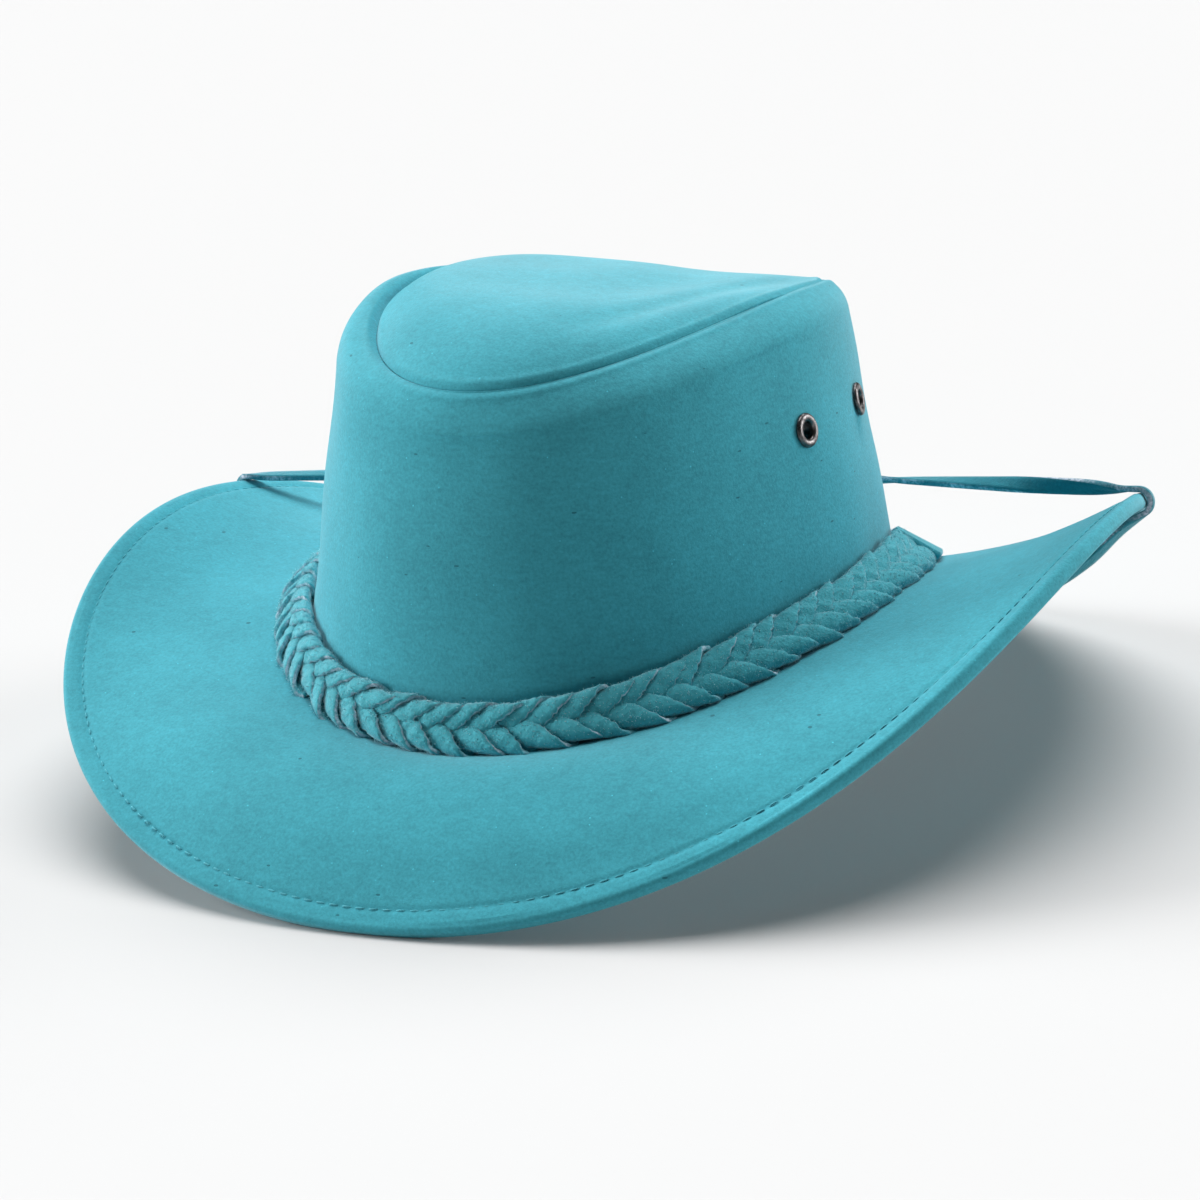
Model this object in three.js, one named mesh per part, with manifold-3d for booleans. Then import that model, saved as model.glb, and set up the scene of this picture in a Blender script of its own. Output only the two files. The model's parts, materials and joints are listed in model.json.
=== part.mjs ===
// A suede outback hat: brim, crown wall, crown tip, plaited band, tab, air eyelets and chin strap.
// Millimetres, +Z up. The origin is on the surface the hat rests on, under the middle of the brim.
// The front of the hat looks along -Y and the wearer's left side is +X. Angles run from the front
// towards +X, so 90 degrees is the +X side and 180 degrees is the back.

import * as THREE from 'three';
import { mergeVertices } from 'three/addons/utils/BufferGeometryUtils.js';
import Module from 'manifold-3d';

const wasm = await Module();
wasm.setup();

// Head oval, where crown and brim meet.
const HEAD_LENGTH = 203;
const HEAD_WIDTH = 173;
const HEAD_HEIGHT = 30.6;
const HEAD_SIDE_RISE = 22.5;
const HEAD_BACK_DROP = 1.5;
const HEAD_SHIFT_FRONT = 3;
const HEAD_SHIFT_RIGHT = 0.8;

// Brim: its outer edge seen from above, and how the edge rises and falls.
const BRIM_THICKNESS = 2.4;
const BRIM_LENGTH = 330.4;
const BRIM_WIDTH = 317.2;
const BRIM_CORNER_FULLNESS = 0.027;
const BRIM_CORNER_TURN = 0.015;
const BRIM_SIDE_RISE = 72.5;
const BRIM_CORNER_DIP = 4.3;
const BRIM_CORNER_SKEW = 6.7;
const BRIM_LEAN = 4.9;
const BRIM_ARCH_FRONT = 12;
const BRIM_ARCH_BACK = -3;
const BRIM_DISH_SIDES = 4;
// The front levels out towards its edge: from this share outwards, and by this depth. The curve of
// the ease, share squared times the rest, peaks at 4/27.
const BRIM_EASE_START = 0.7;
const BRIM_EASE_FRONT = 1.4;
const EASE_PEAK = 4 / 27;
// Height of the upper face's edge. The fold below it is pressed flat at the front and the back.
const BRIM_LIFT_FRONT = 2;
const BRIM_LIFT_BACK = 3.2;
const BRIM_LIFT_SIDES = 1.2;
// The folded edge thickens the brim downwards and stands a lip proud of its upper face. A power
// below 1 squares its round section a little.
const ROLL_DIAMETER = 4.8;
const ROLL_LIP = 0.15;
const ROLL_TURN = 125;
const ROLL_STEPS = 8;
const ROLL_POWER = 0.7;
const BRIM_REACH = BRIM_WIDTH / 2 - HEAD_WIDTH / 2;
const BRIM_SHARES = [0, 0.14, 0.32, 0.52, 0.7, 0.82];

// Crown: its shoulder, its rim and the seam of its tip. Heights are above the head oval's front.
const WALL_THICKNESS = 2;
const SHOULDER = { length: 185, width: 145.4, shiftBack: 5.4, front: 86.1, side: 100.2, back: 82.3 };
const RIM_LOFT = { front: 3, right: 6.2, back: 8.3, left: 19 };
const SEAM = { length: 169.5, width: 124.4, shiftBack: 7, front: 98, side: 109.4, back: 91.8 };
const SEAM_EGG = 0.0365;
// Where the wall and the rim are cut into rings, as shares of their height.
const WALL_SHARES = [0.34, 0.67, 1];
const RIM_SHARES = [0.25, 0.5, 0.75, 1];
// The wall's lower edge is bevelled, so that it clears the brim's slope.
const WALL_FOOT_OUTSIDE = 0.55;
const WALL_FOOT_INSIDE = 0.5;

// Crown tip: a soft dome, higher at the front and left, that falls steeply to its seam.
const TIP_THICKNESS = 2;
const TIP_LEVEL = 103.7;
const DOME_HEIGHT = 10.1;
const DOME_EDGE_POWER = 5;
const DOME_FRONT_SHARE = 0.41;
const DOME_LEFT_SHARE = 0.43;
const DOME_SADDLE_SHARE = 0.17;
const TIP_SHARES = [0.95, 0.84, 0.68, 0.48, 0.26];
// The tip's dent: where it lies as shares of the tip's half sizes, its reach and its depth.
const TIP_DENT = { across: 0.4, back: 0, reachAcross: 0.26, reachBack: 0.62, depth: 2.2 };

// Band: a plait that leans across the corner between crown and brim, closed by a tab at the back.
const BAND_WIDTH = 14.5;
const BAND_THICKNESS = 5;
const TAB_WIDTH = 16.5;
const TAB_THICKNESS = 2.6;
const TAB_SECTIONS = 24;
// The plait runs from its start past the front to its end, and the tab closes the rest of the ring.
const BAND_START_ANGLE = -139;
const BAND_END_ANGLE = 107;
// How far the band leans from standing against the crown towards lying on the brim, in degrees.
const BAND_LEAN = { front: 26, right: 48, back: 62, left: 40 };

// Air eyelets: two on each side of the crown, worked out on the +X side and mirrored.
const EYELET_FLANGE = 10;
const EYELET_HOLE = 5;
const EYELET_BARREL = 6.4;
const EYELET_RIM_HEIGHT = 1.1;
const EYELET_HEIGHT_SHARE = 0.674;
const EYELET_SIDES = 16;
const EYELET_WASHER_INSET = 0.8;
const EYELET_ROUNDING = 0.8;
const EYELETS = [
  { name: 'front', angle: 77.3 },
  { name: 'back', angle: 101.5 },
];

// Chin strap: one flat lace from inside the crown, under the brim, over its edge and behind the crown.
const STRAP_WIDTH = 5;
const STRAP_THICKNESS = 1.8;
const STRAP_EDGE_ANGLE = 104;
const STRAP_ANCHOR_ANGLE = 88;
const STRAP_ANCHOR_LENGTH = 16;
const STRAP_BACK_HEIGHT = 29.9;
const STRAP_CORNER_EASE = 1.2;
const STRAP_SLACK_DEPTH = 11;
// The strap bends over the roll between these two turns round it, in degrees from straight out.
const STRAP_ROLL_START = -60;
const STRAP_ROLL_END = 95;
const STRAP_ROLL_STEPS = 6;
const STRAP_BACK_STEPS = 10;
// The slack stretch under the brim: share of the way from the roll to the head oval, the share of
// the slack depth that the strap hangs below the brim there, and its lean in degrees.
const STRAP_SLACK = [
  { way: 0.08, drop: 0.4, lean: 30 },
  { way: 0.2, drop: 0.8, lean: 43 },
  { way: 0.36, drop: 1, lean: 45 },
  { way: 0.55, drop: 0.8, lean: 32 },
  { way: 0.75, drop: 0.42, lean: 14 },
  { way: 0.92, drop: 0.14, lean: 0 },
];
// The stretch above the brim: share of the way from the edge to the crown's back, and how far the
// lace has turned there, in degrees from lying flat.
const STRAP_TWIST_RIGHT = [
  { way: 0.03, turn: -14 },
  { way: 0.07, turn: -36 },
  { way: 0.12, turn: -60 },
  { way: 0.18, turn: -78 },
  { way: 0.25, turn: -96 },
  { way: 0.32, turn: -124 },
  { way: 0.4, turn: -150 },
  { way: 0.55, turn: -172 },
  { way: 0.68, turn: -188 },
  { way: 0.78, turn: -212 },
  { way: 0.88, turn: -242 },
  { way: 0.95, turn: -262 },
];
const STRAP_TWIST_LEFT = [
  { way: 0.05, turn: 4 },
  { way: 0.13, turn: 9 },
  { way: 0.25, turn: 18 },
  { way: 0.4, turn: 32 },
  { way: 0.55, turn: 48 },
  { way: 0.7, turn: 64 },
  { way: 0.84, turn: 78 },
  { way: 0.94, turn: 86 },
];

// Clearance that touching pieces keep, and how finely the rings are cut.
const GAP = 0.3;
const SEGMENTS = 72;
// Small steps in angle and in share, from which directions on a surface are found.
const ANGLE_STEP = 0.01;
const NORMAL_STEP = 0.002;
const NEAR_EDGE = 0.97;
const NARROWEST_ANGLE = 1e-7;

const RAD = Math.PI / 180;
const UP = new THREE.Vector3(0, 0, 1);

const suede = (color) => new THREE.MeshStandardMaterial({ color, roughness: 0.95, metalness: 0 });
const CROWN_SUEDE = suede(0x4aa3b3);
const BRIM_SUEDE = suede(0x4fb5c5);
const PLAIT_SUEDE = suede(0x3f93a3);
const LACE_LEATHER = suede(0x3d8493);
const GUNMETAL = new THREE.MeshStandardMaterial({ color: 0x5a5550, roughness: 0.35, metalness: 0.9 });

// A value that is given at the front, the sides and the back and runs smoothly between them.
function around(angle, front, right, back, left) {
  const c = Math.cos(angle);
  const s = Math.sin(angle);
  return c * c * (c > 0 ? front : back) + s * s * (s > 0 ? right : left);
}

// An oval ring with one height each at its front, sides and back.
function oval(angle, ring, scale = 1) {
  const level = around(angle, ring.front, ring.side, ring.back, ring.side);
  return new THREE.Vector3(
    HEAD_SHIFT_RIGHT + (ring.width / 2) * Math.sin(angle) * scale,
    ring.shiftBack - HEAD_SHIFT_FRONT - (ring.length / 2) * Math.cos(angle) * scale,
    HEAD_HEIGHT + level,
  );
}

function headPoint(angle) {
  const rise = around(angle, 0, HEAD_SIDE_RISE, -HEAD_BACK_DROP, HEAD_SIDE_RISE);
  return new THREE.Vector3(
    HEAD_SHIFT_RIGHT + (HEAD_WIDTH / 2) * Math.sin(angle),
    (-HEAD_LENGTH / 2) * Math.cos(angle) - HEAD_SHIFT_FRONT,
    HEAD_HEIGHT + rise,
  );
}

function brimEdge(angle) {
  const c = Math.cos(angle);
  const s = Math.sin(angle);
  const corner = Math.sin(2 * angle) ** 2;
  const full = 1 + BRIM_CORNER_FULLNESS * corner - BRIM_CORNER_TURN * Math.sin(2 * angle);
  const lift = around(angle, BRIM_LIFT_FRONT, BRIM_LIFT_SIDES, BRIM_LIFT_BACK, BRIM_LIFT_SIDES);
  const rise = lift + BRIM_SIDE_RISE * s * s + BRIM_LEAN * s ** 3;
  return new THREE.Vector3(
    (BRIM_WIDTH / 2) * s * full,
    (-BRIM_LENGTH / 2) * c * full,
    rise - BRIM_CORNER_DIP * corner - BRIM_CORNER_SKEW * s * s * c,
  );
}

// The brim's upper face: straight from head oval to edge, plus an arch or a dish, less the front's ease.
function brimTop(angle, share) {
  const point = headPoint(angle).lerp(brimEdge(angle), share);
  const arch = around(angle, BRIM_ARCH_FRONT, -BRIM_DISH_SIDES, BRIM_ARCH_BACK, -BRIM_DISH_SIDES);
  point.z += 4 * share * (1 - share) * arch;
  const outer = Math.max(0, (share - BRIM_EASE_START) / (1 - BRIM_EASE_START));
  point.z -= (outer ** 2 * (1 - outer) * around(angle, BRIM_EASE_FRONT, 0, 0, 0)) / EASE_PEAK;
  return point;
}

// The crown's outer face: straight from the head oval to the shoulder.
function wallFace(angle, share) {
  return headPoint(angle).lerp(oval(angle, SHOULDER), share);
}

function seamPoint(angle) {
  return oval(angle, SEAM, 1 + SEAM_EGG * Math.cos(3 * angle));
}

// The rim: a curve that leaves the shoulder along the wall and ends in the seam.
function rimFace(angle, share) {
  const shoulder = oval(angle, SHOULDER);
  const along = shoulder.clone().sub(headPoint(angle)).normalize();
  const loft = around(angle, RIM_LOFT.front, RIM_LOFT.right, RIM_LOFT.back, RIM_LOFT.left);
  const corner = shoulder.clone().addScaledVector(along, loft);
  return shoulder
    .multiplyScalar((1 - share) ** 2)
    .addScaledVector(corner, 2 * share * (1 - share))
    .addScaledVector(seamPoint(angle), share ** 2);
}

// The tip's upper face: share 1 is the seam and share 0 is the middle.
function tipFace(angle, share) {
  const seam = oval(angle, SEAM, share * (1 + SEAM_EGG * Math.cos(3 * angle) * share));
  const across = Math.sin(angle) * share;
  const back = -Math.cos(angle) * share;
  const swell =
    1 - DOME_FRONT_SHARE * back - DOME_LEFT_SHARE * across + DOME_SADDLE_SHARE * (back ** 2 - across ** 2);
  const a = (across - TIP_DENT.across) / TIP_DENT.reachAcross;
  const b = (back - TIP_DENT.back) / TIP_DENT.reachBack;
  const dent = TIP_DENT.depth * Math.exp(-(a * a) - b * b);
  const level = HEAD_HEIGHT + TIP_LEVEL;
  const base = level + (seam.z - level) * share ** 2;
  seam.z = base + (DOME_HEIGHT * swell - dent) * (1 - share ** DOME_EDGE_POWER);
  return seam;
}

// The normal of a face, from its slopes round the hat and along its share.
function faceNormal(face, angle, share) {
  const round = face(angle + NORMAL_STEP, share).sub(face(angle - NORMAL_STEP, share));
  const along = face(angle, share + NORMAL_STEP).sub(face(angle, share - NORMAL_STEP));
  return round.cross(along).normalize();
}

const radial = (angle) => new THREE.Vector3(Math.sin(angle), -Math.cos(angle), 0);
const wallNormal = (angle, share) => faceNormal(wallFace, angle, share);
const rimNormal = (angle, share) => faceNormal(rimFace, angle, share);
const tipNormal = (angle, share) => faceNormal(tipFace, angle, share).negate();
const brimNormal = (angle, share) => faceNormal(brimTop, angle, share).negate();

function offset(face, normal, angle, share, depth) {
  return face(angle, share).addScaledVector(normal(angle, share), -depth);
}

// Solids from sections

// A closed solid. Its faces are all turned round together when they would point inwards.
function solidFrom(points, faces) {
  const geometry = new THREE.BufferGeometry();
  const numbers = points.flatMap((p) => [p.x, p.y, p.z]);
  const volume = faces.reduce(
    (sum, [a, b, c]) => sum + points[a].dot(points[b].clone().cross(points[c])) / 6,
    0,
  );
  const order = volume < 0 ? faces.map((face) => [...face].reverse()) : faces;
  geometry.setAttribute('position', new THREE.Float32BufferAttribute(numbers, 3));
  geometry.setIndex(order.flat());
  const flat = geometry.toNonIndexed();
  flat.computeVertexNormals();
  return flat;
}

// A ring from closed sections that all have as many points, in order round the ring.
function ringSolid(sections) {
  const size = sections[0].length;
  const faces = [];
  sections.forEach((_, i) => {
    const next = ((i + 1) % sections.length) * size;
    for (let j = 0; j < size; j += 1) {
      const a = i * size + j;
      const b = i * size + ((j + 1) % size);
      const c = next + ((j + 1) % size);
      const d = next + j;
      faces.push([a, b, c], [a, c, d]);
    }
  });
  return solidFrom(sections.flat(), faces);
}

// A bar from closed sections in order along it, with a cap at each end.
function barSolid(sections) {
  const size = sections[0].length;
  const points = sections.flat();
  const faces = [];
  for (let i = 0; i + 1 < sections.length; i += 1) {
    for (let j = 0; j < size; j += 1) {
      const a = i * size + j;
      const b = i * size + ((j + 1) % size);
      faces.push([a, b, b + size], [a, b + size, a + size]);
    }
  }
  const last = (sections.length - 1) * size;
  for (let j = 1; j + 1 < size; j += 1) {
    faces.push([0, j + 1, j], [last, last + j, last + j + 1]);
  }
  return solidFrom(points, faces);
}

const angles = Array.from({ length: SEGMENTS }, (_, i) => (i * 2 * Math.PI) / SEGMENTS);
const steps = (from, to, count) =>
  Array.from({ length: count + 1 }, (_, i) => from + ((to - from) * i) / count);

// Brim: a sheet with a thicker folded edge, flattened a little where it rests.

function edgeDirection(angle) {
  return brimEdge(angle + ANGLE_STEP).sub(brimEdge(angle - ANGLE_STEP)).normalize();
}

function rollCentre(angle) {
  const edge = brimEdge(angle);
  const inward = brimTop(angle, NEAR_EDGE).sub(edge).normalize();
  return edge
    .addScaledVector(inward, ROLL_DIAMETER / 2)
    .addScaledVector(brimNormal(angle, NEAR_EDGE), ROLL_LIP - ROLL_DIAMETER / 2);
}

const squared = (value) => Math.sign(value) * Math.abs(value) ** ROLL_POWER;

function brimSection(angle) {
  const radius = ROLL_DIAMETER / 2;
  const centre = rollCentre(angle);
  const sheetEnd = 1 - ROLL_DIAMETER / BRIM_REACH;
  const outward = brimEdge(angle).sub(brimTop(angle, sheetEnd));
  const along = edgeDirection(angle);
  outward.addScaledVector(along, -outward.dot(along)).normalize();
  const above = brimNormal(angle, sheetEnd);
  const shares = [-WALL_THICKNESS / BRIM_REACH, ...BRIM_SHARES, sheetEnd];
  const top = shares.map((share) => brimTop(angle, share));
  const roll = steps(ROLL_TURN, -ROLL_TURN, ROLL_STEPS).map((turn) =>
    centre
      .clone()
      .addScaledVector(outward, radius * squared(Math.cos(turn * RAD)))
      .addScaledVector(above, radius * squared(Math.sin(turn * RAD))),
  );
  const under = shares.map((share) => offset(brimTop, brimNormal, angle, share, BRIM_THICKNESS));
  const section = [...top, ...roll, ...under.reverse()];
  section.forEach((point) => {
    point.z = Math.max(point.z, 0);
  });
  return section;
}

function makeBrim() {
  return ringSolid(angles.map(brimSection));
}

// Crown wall and tip. They meet at the seam, whose two edges face each other across the gap.

const wallFoot = WALL_FOOT_OUTSIDE / (SHOULDER.side - HEAD_SIDE_RISE);

function seamDown(angle) {
  return rimNormal(angle, NEAR_EDGE).add(tipNormal(angle, NEAR_EDGE)).normalize().negate();
}

function makeCrownWall() {
  const sections = angles.map((angle) => {
    const outside = [
      ...[wallFoot, ...WALL_SHARES].map((share) => wallFace(angle, share)),
      ...RIM_SHARES.map((share) => rimFace(angle, share)),
    ];
    const inside = [
      brimTop(angle, -WALL_THICKNESS / BRIM_REACH).addScaledVector(UP, WALL_FOOT_INSIDE),
      ...WALL_SHARES.map((share) => offset(wallFace, wallNormal, angle, share, WALL_THICKNESS)),
      ...RIM_SHARES.slice(0, -1).map((share) => offset(rimFace, rimNormal, angle, share, WALL_THICKNESS)),
      seamPoint(angle).addScaledVector(seamDown(angle), WALL_THICKNESS),
    ];
    return [...outside, ...inside.reverse()];
  });
  let wall = toManifold(ringSolid(sections));
  const radius = EYELET_BARREL / 2 + GAP;
  for (const eyelet of eyeletPlaces()) {
    const hole = new THREE.CylinderGeometry(radius, radius, WALL_THICKNESS * 7, EYELET_SIDES);
    hole.rotateX(Math.PI / 2);
    hole.applyMatrix4(eyelet.matrix);
    wall = wall.subtract(toManifold(hole));
  }
  return fromManifold(wall);
}

function makeCrownTip() {
  const top = [];
  const under = [];
  const edgeIn = GAP / (SEAM.width / 2);
  angles.forEach((angle) => {
    const edge = tipFace(angle, 1 - edgeIn);
    top.push([edge, ...TIP_SHARES.map((share) => tipFace(angle, share))]);
    const foot = edge.clone().addScaledVector(seamDown(angle), TIP_THICKNESS);
    under.push([foot, ...TIP_SHARES.map((share) => offset(tipFace, tipNormal, angle, share, TIP_THICKNESS))]);
  });
  const rows = TIP_SHARES.length + 1;
  const points = [...top.flat(), ...under.flat()];
  const middle = points.push(tipFace(0, 0)) - 1;
  const below = points.push(tipFace(0, 0).addScaledVector(UP, -TIP_THICKNESS)) - 1;
  const lower = SEGMENTS * rows;
  const faces = [];
  angles.forEach((_, i) => {
    const here = i * rows;
    const next = ((i + 1) % SEGMENTS) * rows;
    for (let j = 0; j + 1 < rows; j += 1) {
      faces.push([here + j, next + j, next + j + 1], [here + j, next + j + 1, here + j + 1]);
      faces.push([lower + here + j, lower + next + j + 1, lower + next + j]);
      faces.push([lower + here + j, lower + here + j + 1, lower + next + j + 1]);
    }
    faces.push([here + rows - 1, next + rows - 1, middle]);
    faces.push([lower + here + rows - 1, below, lower + next + rows - 1]);
    faces.push([here, lower + here, lower + next], [here, lower + next, next]);
  });
  return solidFrom(points, faces);
}

// Band and tab: rounded bars that lean across the corner between crown and brim.

// The middle of a bar, its way across and its way out. Its section is an oval or, where square is
// true, a rectangle, and it clears the crown and the brim by the gap.
function cornerFrame(angle, width, thickness, square) {
  const foot = headPoint(angle);
  const lean = around(angle, BAND_LEAN.front, BAND_LEAN.right, BAND_LEAN.back, BAND_LEAN.left) * RAD;
  const upWall = wallFace(angle, WALL_SHARES[0]).sub(foot).normalize();
  const outBrim = brimTop(angle, (width * Math.sin(lean)) / BRIM_REACH).sub(foot).normalize();
  const offWall = outBrim.clone().addScaledVector(upWall, -outBrim.dot(upWall)).normalize();
  const offBrim = upWall.clone().addScaledVector(outBrim, -outBrim.dot(upWall)).normalize();
  const across = upWall.clone().multiplyScalar(Math.cos(lean)).addScaledVector(offWall, -Math.sin(lean));
  const out = upWall.clone().multiplyScalar(Math.sin(lean)).addScaledVector(offWall, Math.cos(lean));
  const clear = (normal) => {
    const wide = (Math.abs(across.dot(normal)) * width) / 2;
    const thick = (Math.abs(out.dot(normal)) * thickness) / 2;
    return GAP + (square ? wide + thick : Math.hypot(wide, thick));
  };
  foot.addScaledVector(outBrim, clear(offWall) / outBrim.dot(offWall));
  foot.addScaledVector(upWall, clear(offBrim) / upWall.dot(offBrim));
  return { middle: foot, across, out };
}

const barSection = ({ middle, across, out }, width, thickness, corners) =>
  corners.map(({ wide, thick }) =>
    middle
      .clone()
      .addScaledVector(across, (wide * width) / 2)
      .addScaledVector(out, (thick * thickness) / 2),
  );

const OVAL_CORNERS = steps(0, 315, 7).map((turn) => ({
  wide: Math.cos(turn * RAD),
  thick: Math.sin(turn * RAD),
}));
const SQUARE_CORNERS = [
  { wide: 1, thick: 1 },
  { wide: -1, thick: 1 },
  { wide: -1, thick: -1 },
  { wide: 1, thick: -1 },
];

function makeHatBand() {
  const count = Math.round((SEGMENTS * (BAND_END_ANGLE - BAND_START_ANGLE)) / 360);
  return barSolid(
    steps(BAND_START_ANGLE * RAD, BAND_END_ANGLE * RAD, count).map((angle) =>
      barSection(cornerFrame(angle, BAND_WIDTH, BAND_THICKNESS, false), BAND_WIDTH, BAND_THICKNESS, OVAL_CORNERS),
    ),
  );
}

function makeBandTab() {
  const space = (2 * GAP) / HEAD_WIDTH;
  const start = BAND_END_ANGLE * RAD + space;
  const end = 2 * Math.PI + BAND_START_ANGLE * RAD - space;
  return barSolid(
    steps(start, end, TAB_SECTIONS).map((angle) =>
      barSection(cornerFrame(angle, TAB_WIDTH, TAB_THICKNESS, true), TAB_WIDTH, TAB_THICKNESS, SQUARE_CORNERS),
    ),
  );
}

// Eyelets: a turned ring with a rounded flange outside and a flat one inside.

function eyeletPlaces() {
  const places = [];
  for (const [side, turn] of [['right', 1], ['left', -1]]) {
    for (const { name, angle } of EYELETS) {
      const theta = turn * angle * RAD;
      const normal = wallNormal(theta, EYELET_HEIGHT_SHARE);
      const matrix = new THREE.Matrix4().lookAt(normal, new THREE.Vector3(), UP);
      matrix.setPosition(wallFace(theta, EYELET_HEIGHT_SHARE));
      places.push({ name: `eyelet_${side}_${name}`, matrix });
    }
  }
  return places;
}

function makeEyelet() {
  const hole = EYELET_HOLE / 2;
  const barrel = EYELET_BARREL / 2;
  const flange = EYELET_FLANGE / 2;
  const outer = GAP;
  const inner = -WALL_THICKNESS - GAP;
  const rim = EYELET_RIM_HEIGHT;
  const washer = flange - EYELET_WASHER_INSET;
  const profile = [
    [hole, inner - rim / 2],
    [washer, inner - rim / 2],
    [washer, inner],
    [barrel, inner],
    [barrel, outer],
    [flange, outer],
    [flange - EYELET_ROUNDING / 4, outer + rim / 2],
    [flange - EYELET_ROUNDING, outer + rim],
    [hole + EYELET_ROUNDING, outer + rim],
    [hole, outer + rim / 2],
    [hole, inner - rim / 2],
  ];
  const ring = new THREE.LatheGeometry(profile.map(([r, z]) => new THREE.Vector2(r, z)), EYELET_SIDES);
  ring.rotateX(Math.PI / 2);
  return ring;
}

// Chin strap: sections along a route that is worked out for one side and mirrored for the other.

function strapSide(turn) {
  const edgeAngle = turn * STRAP_EDGE_ANGLE * RAD;
  const anchorAngle = turn * STRAP_ANCHOR_ANGLE * RAD;
  const half = STRAP_THICKNESS / 2 + GAP;
  const edgeWay = edgeDirection(edgeAngle).multiplyScalar(turn);
  const centre = rollCentre(edgeAngle);
  const rows = [];

  // Inside the crown, flat against the wall, then round the brim's inner edge.
  const wallWay = new THREE.Vector3(0, 1, 0);
  const inside = (height, ease) => {
    const share = height / (SHOULDER.side - HEAD_SIDE_RISE);
    return offset(wallFace, wallNormal, anchorAngle, share, WALL_THICKNESS + half + ease);
  };
  rows.push({ point: inside(STRAP_ANCHOR_LENGTH, 0), wide: wallWay });
  rows.push({ point: inside(STRAP_ANCHOR_LENGTH / 2, 0), wide: wallWay });
  rows.push({ point: inside(0, STRAP_CORNER_EASE / 2), wide: wallWay });
  const below = BRIM_THICKNESS + STRAP_THICKNESS;
  rows.push({ point: inside(-below, STRAP_CORNER_EASE), wide: wallWay });

  // Under the brim, from the head oval out to the roll.
  for (const { way, drop, lean } of [...STRAP_SLACK].reverse()) {
    const angle = THREE.MathUtils.lerp(edgeAngle, anchorAngle, way);
    const depth = BRIM_THICKNESS + half + GAP + STRAP_SLACK_DEPTH * drop;
    const point = brimTop(angle, 1 - way).addScaledVector(UP, -depth);
    const wide = wallWay.clone().lerp(edgeWay, 1 - way).normalize().multiplyScalar(Math.cos(lean * RAD));
    rows.push({ point, wide: wide.addScaledVector(UP, -Math.sin(lean * RAD)) });
  }

  // Round the rolled edge, from below it to its top.
  const reach = ROLL_DIAMETER / 2 + half + GAP;
  const out = radial(edgeAngle);
  out.addScaledVector(edgeWay, -out.dot(edgeWay)).normalize();
  const over = out.clone().cross(edgeWay).normalize();
  if (over.z < 0) over.negate();
  for (const roll of steps(STRAP_ROLL_START, STRAP_ROLL_END, STRAP_ROLL_STEPS)) {
    const point = centre
      .clone()
      .addScaledVector(out, reach * Math.cos(roll * RAD))
      .addScaledVector(over, reach * Math.sin(roll * RAD));
    rows.push({ point, wide: edgeWay });
  }

  // Straight to the back of the crown, turning as it goes.
  const from = rows[rows.length - 1].point;
  const backAngle = tangentAngle(from, turn);
  const to = strapBack(backAngle);
  const level = to.clone().sub(from).setZ(0).normalize();
  const flat = UP.clone().cross(level).multiplyScalar(turn);
  if (flat.dot(edgeWay) < 0) flat.negate();
  for (const { way, turn: twist } of turn > 0 ? STRAP_TWIST_RIGHT : STRAP_TWIST_LEFT) {
    const wide = flat.clone().multiplyScalar(Math.cos(twist * RAD)).addScaledVector(UP, Math.sin(twist * RAD));
    rows.push({ point: from.clone().lerp(to, way), wide });
  }
  return { rows, backAngle };
}

// A point of the strap where it lies flat against the back of the crown.
function strapBack(angle) {
  const foot = headPoint(angle);
  const rise = oval(angle, SHOULDER).z - foot.z;
  const share = (HEAD_HEIGHT + STRAP_BACK_HEIGHT - foot.z) / rise;
  return offset(wallFace, wallNormal, angle, share, -(STRAP_THICKNESS / 2 + 2 * GAP));
}

// The angle at which a straight line from a point beside the crown just touches its back.
function tangentAngle(from, turn) {
  let [near, far] = [Math.PI / 2, Math.PI];
  while (far - near > NARROWEST_ANGLE) {
    const angle = (near + far) / 2;
    const normal = wallNormal(turn * angle, STRAP_BACK_HEIGHT / SHOULDER.back);
    if (from.clone().sub(strapBack(turn * angle)).dot(normal) > 0) near = angle;
    else far = angle;
  }
  return turn * near;
}

function makeChinStrap() {
  const right = strapSide(1);
  const left = strapSide(-1);
  const back = steps(right.backAngle, 2 * Math.PI + left.backAngle, STRAP_BACK_STEPS).map((angle) => ({
    point: strapBack(angle),
    wide: UP,
  }));
  const rows = [...right.rows, ...back, ...left.rows.reverse()];
  const sections = rows.map(({ point, wide }, i) => {
    const before = rows[Math.max(i - 1, 0)].point;
    const after = rows[Math.min(i + 1, rows.length - 1)].point;
    const along = after.clone().sub(before).normalize();
    const across = wide.clone().addScaledVector(along, -wide.dot(along)).normalize();
    const thick = along.clone().cross(across);
    return [[1, 1], [-1, 1], [-1, -1], [1, -1]].map(([a, b]) =>
      point
        .clone()
        .addScaledVector(across, (a * STRAP_WIDTH) / 2)
        .addScaledVector(thick, (b * STRAP_THICKNESS) / 2),
    );
  });
  return barSolid(sections);
}

// Booleans

function toManifold(source) {
  const geometry = source.clone();
  geometry.deleteAttribute('normal');
  geometry.deleteAttribute('uv');
  const merged = mergeVertices(geometry, 1e-4);
  return new wasm.Manifold(
    new wasm.Mesh({
      numProp: 3,
      vertProperties: new Float32Array(merged.attributes.position.array),
      triVerts: new Uint32Array(merged.index.array),
    }),
  );
}

function fromManifold(solid) {
  const mesh = solid.getMesh();
  const geometry = new THREE.BufferGeometry();
  geometry.setAttribute('position', new THREE.Float32BufferAttribute(mesh.vertProperties, 3));
  geometry.setIndex([...mesh.triVerts]);
  const flat = geometry.toNonIndexed();
  flat.computeVertexNormals();
  return flat;
}

// The hat

const hat = new THREE.Group();

function addPiece(name, geometry, material) {
  const mesh = new THREE.Mesh(geometry, material);
  mesh.name = name;
  hat.add(mesh);
  return mesh;
}

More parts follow.
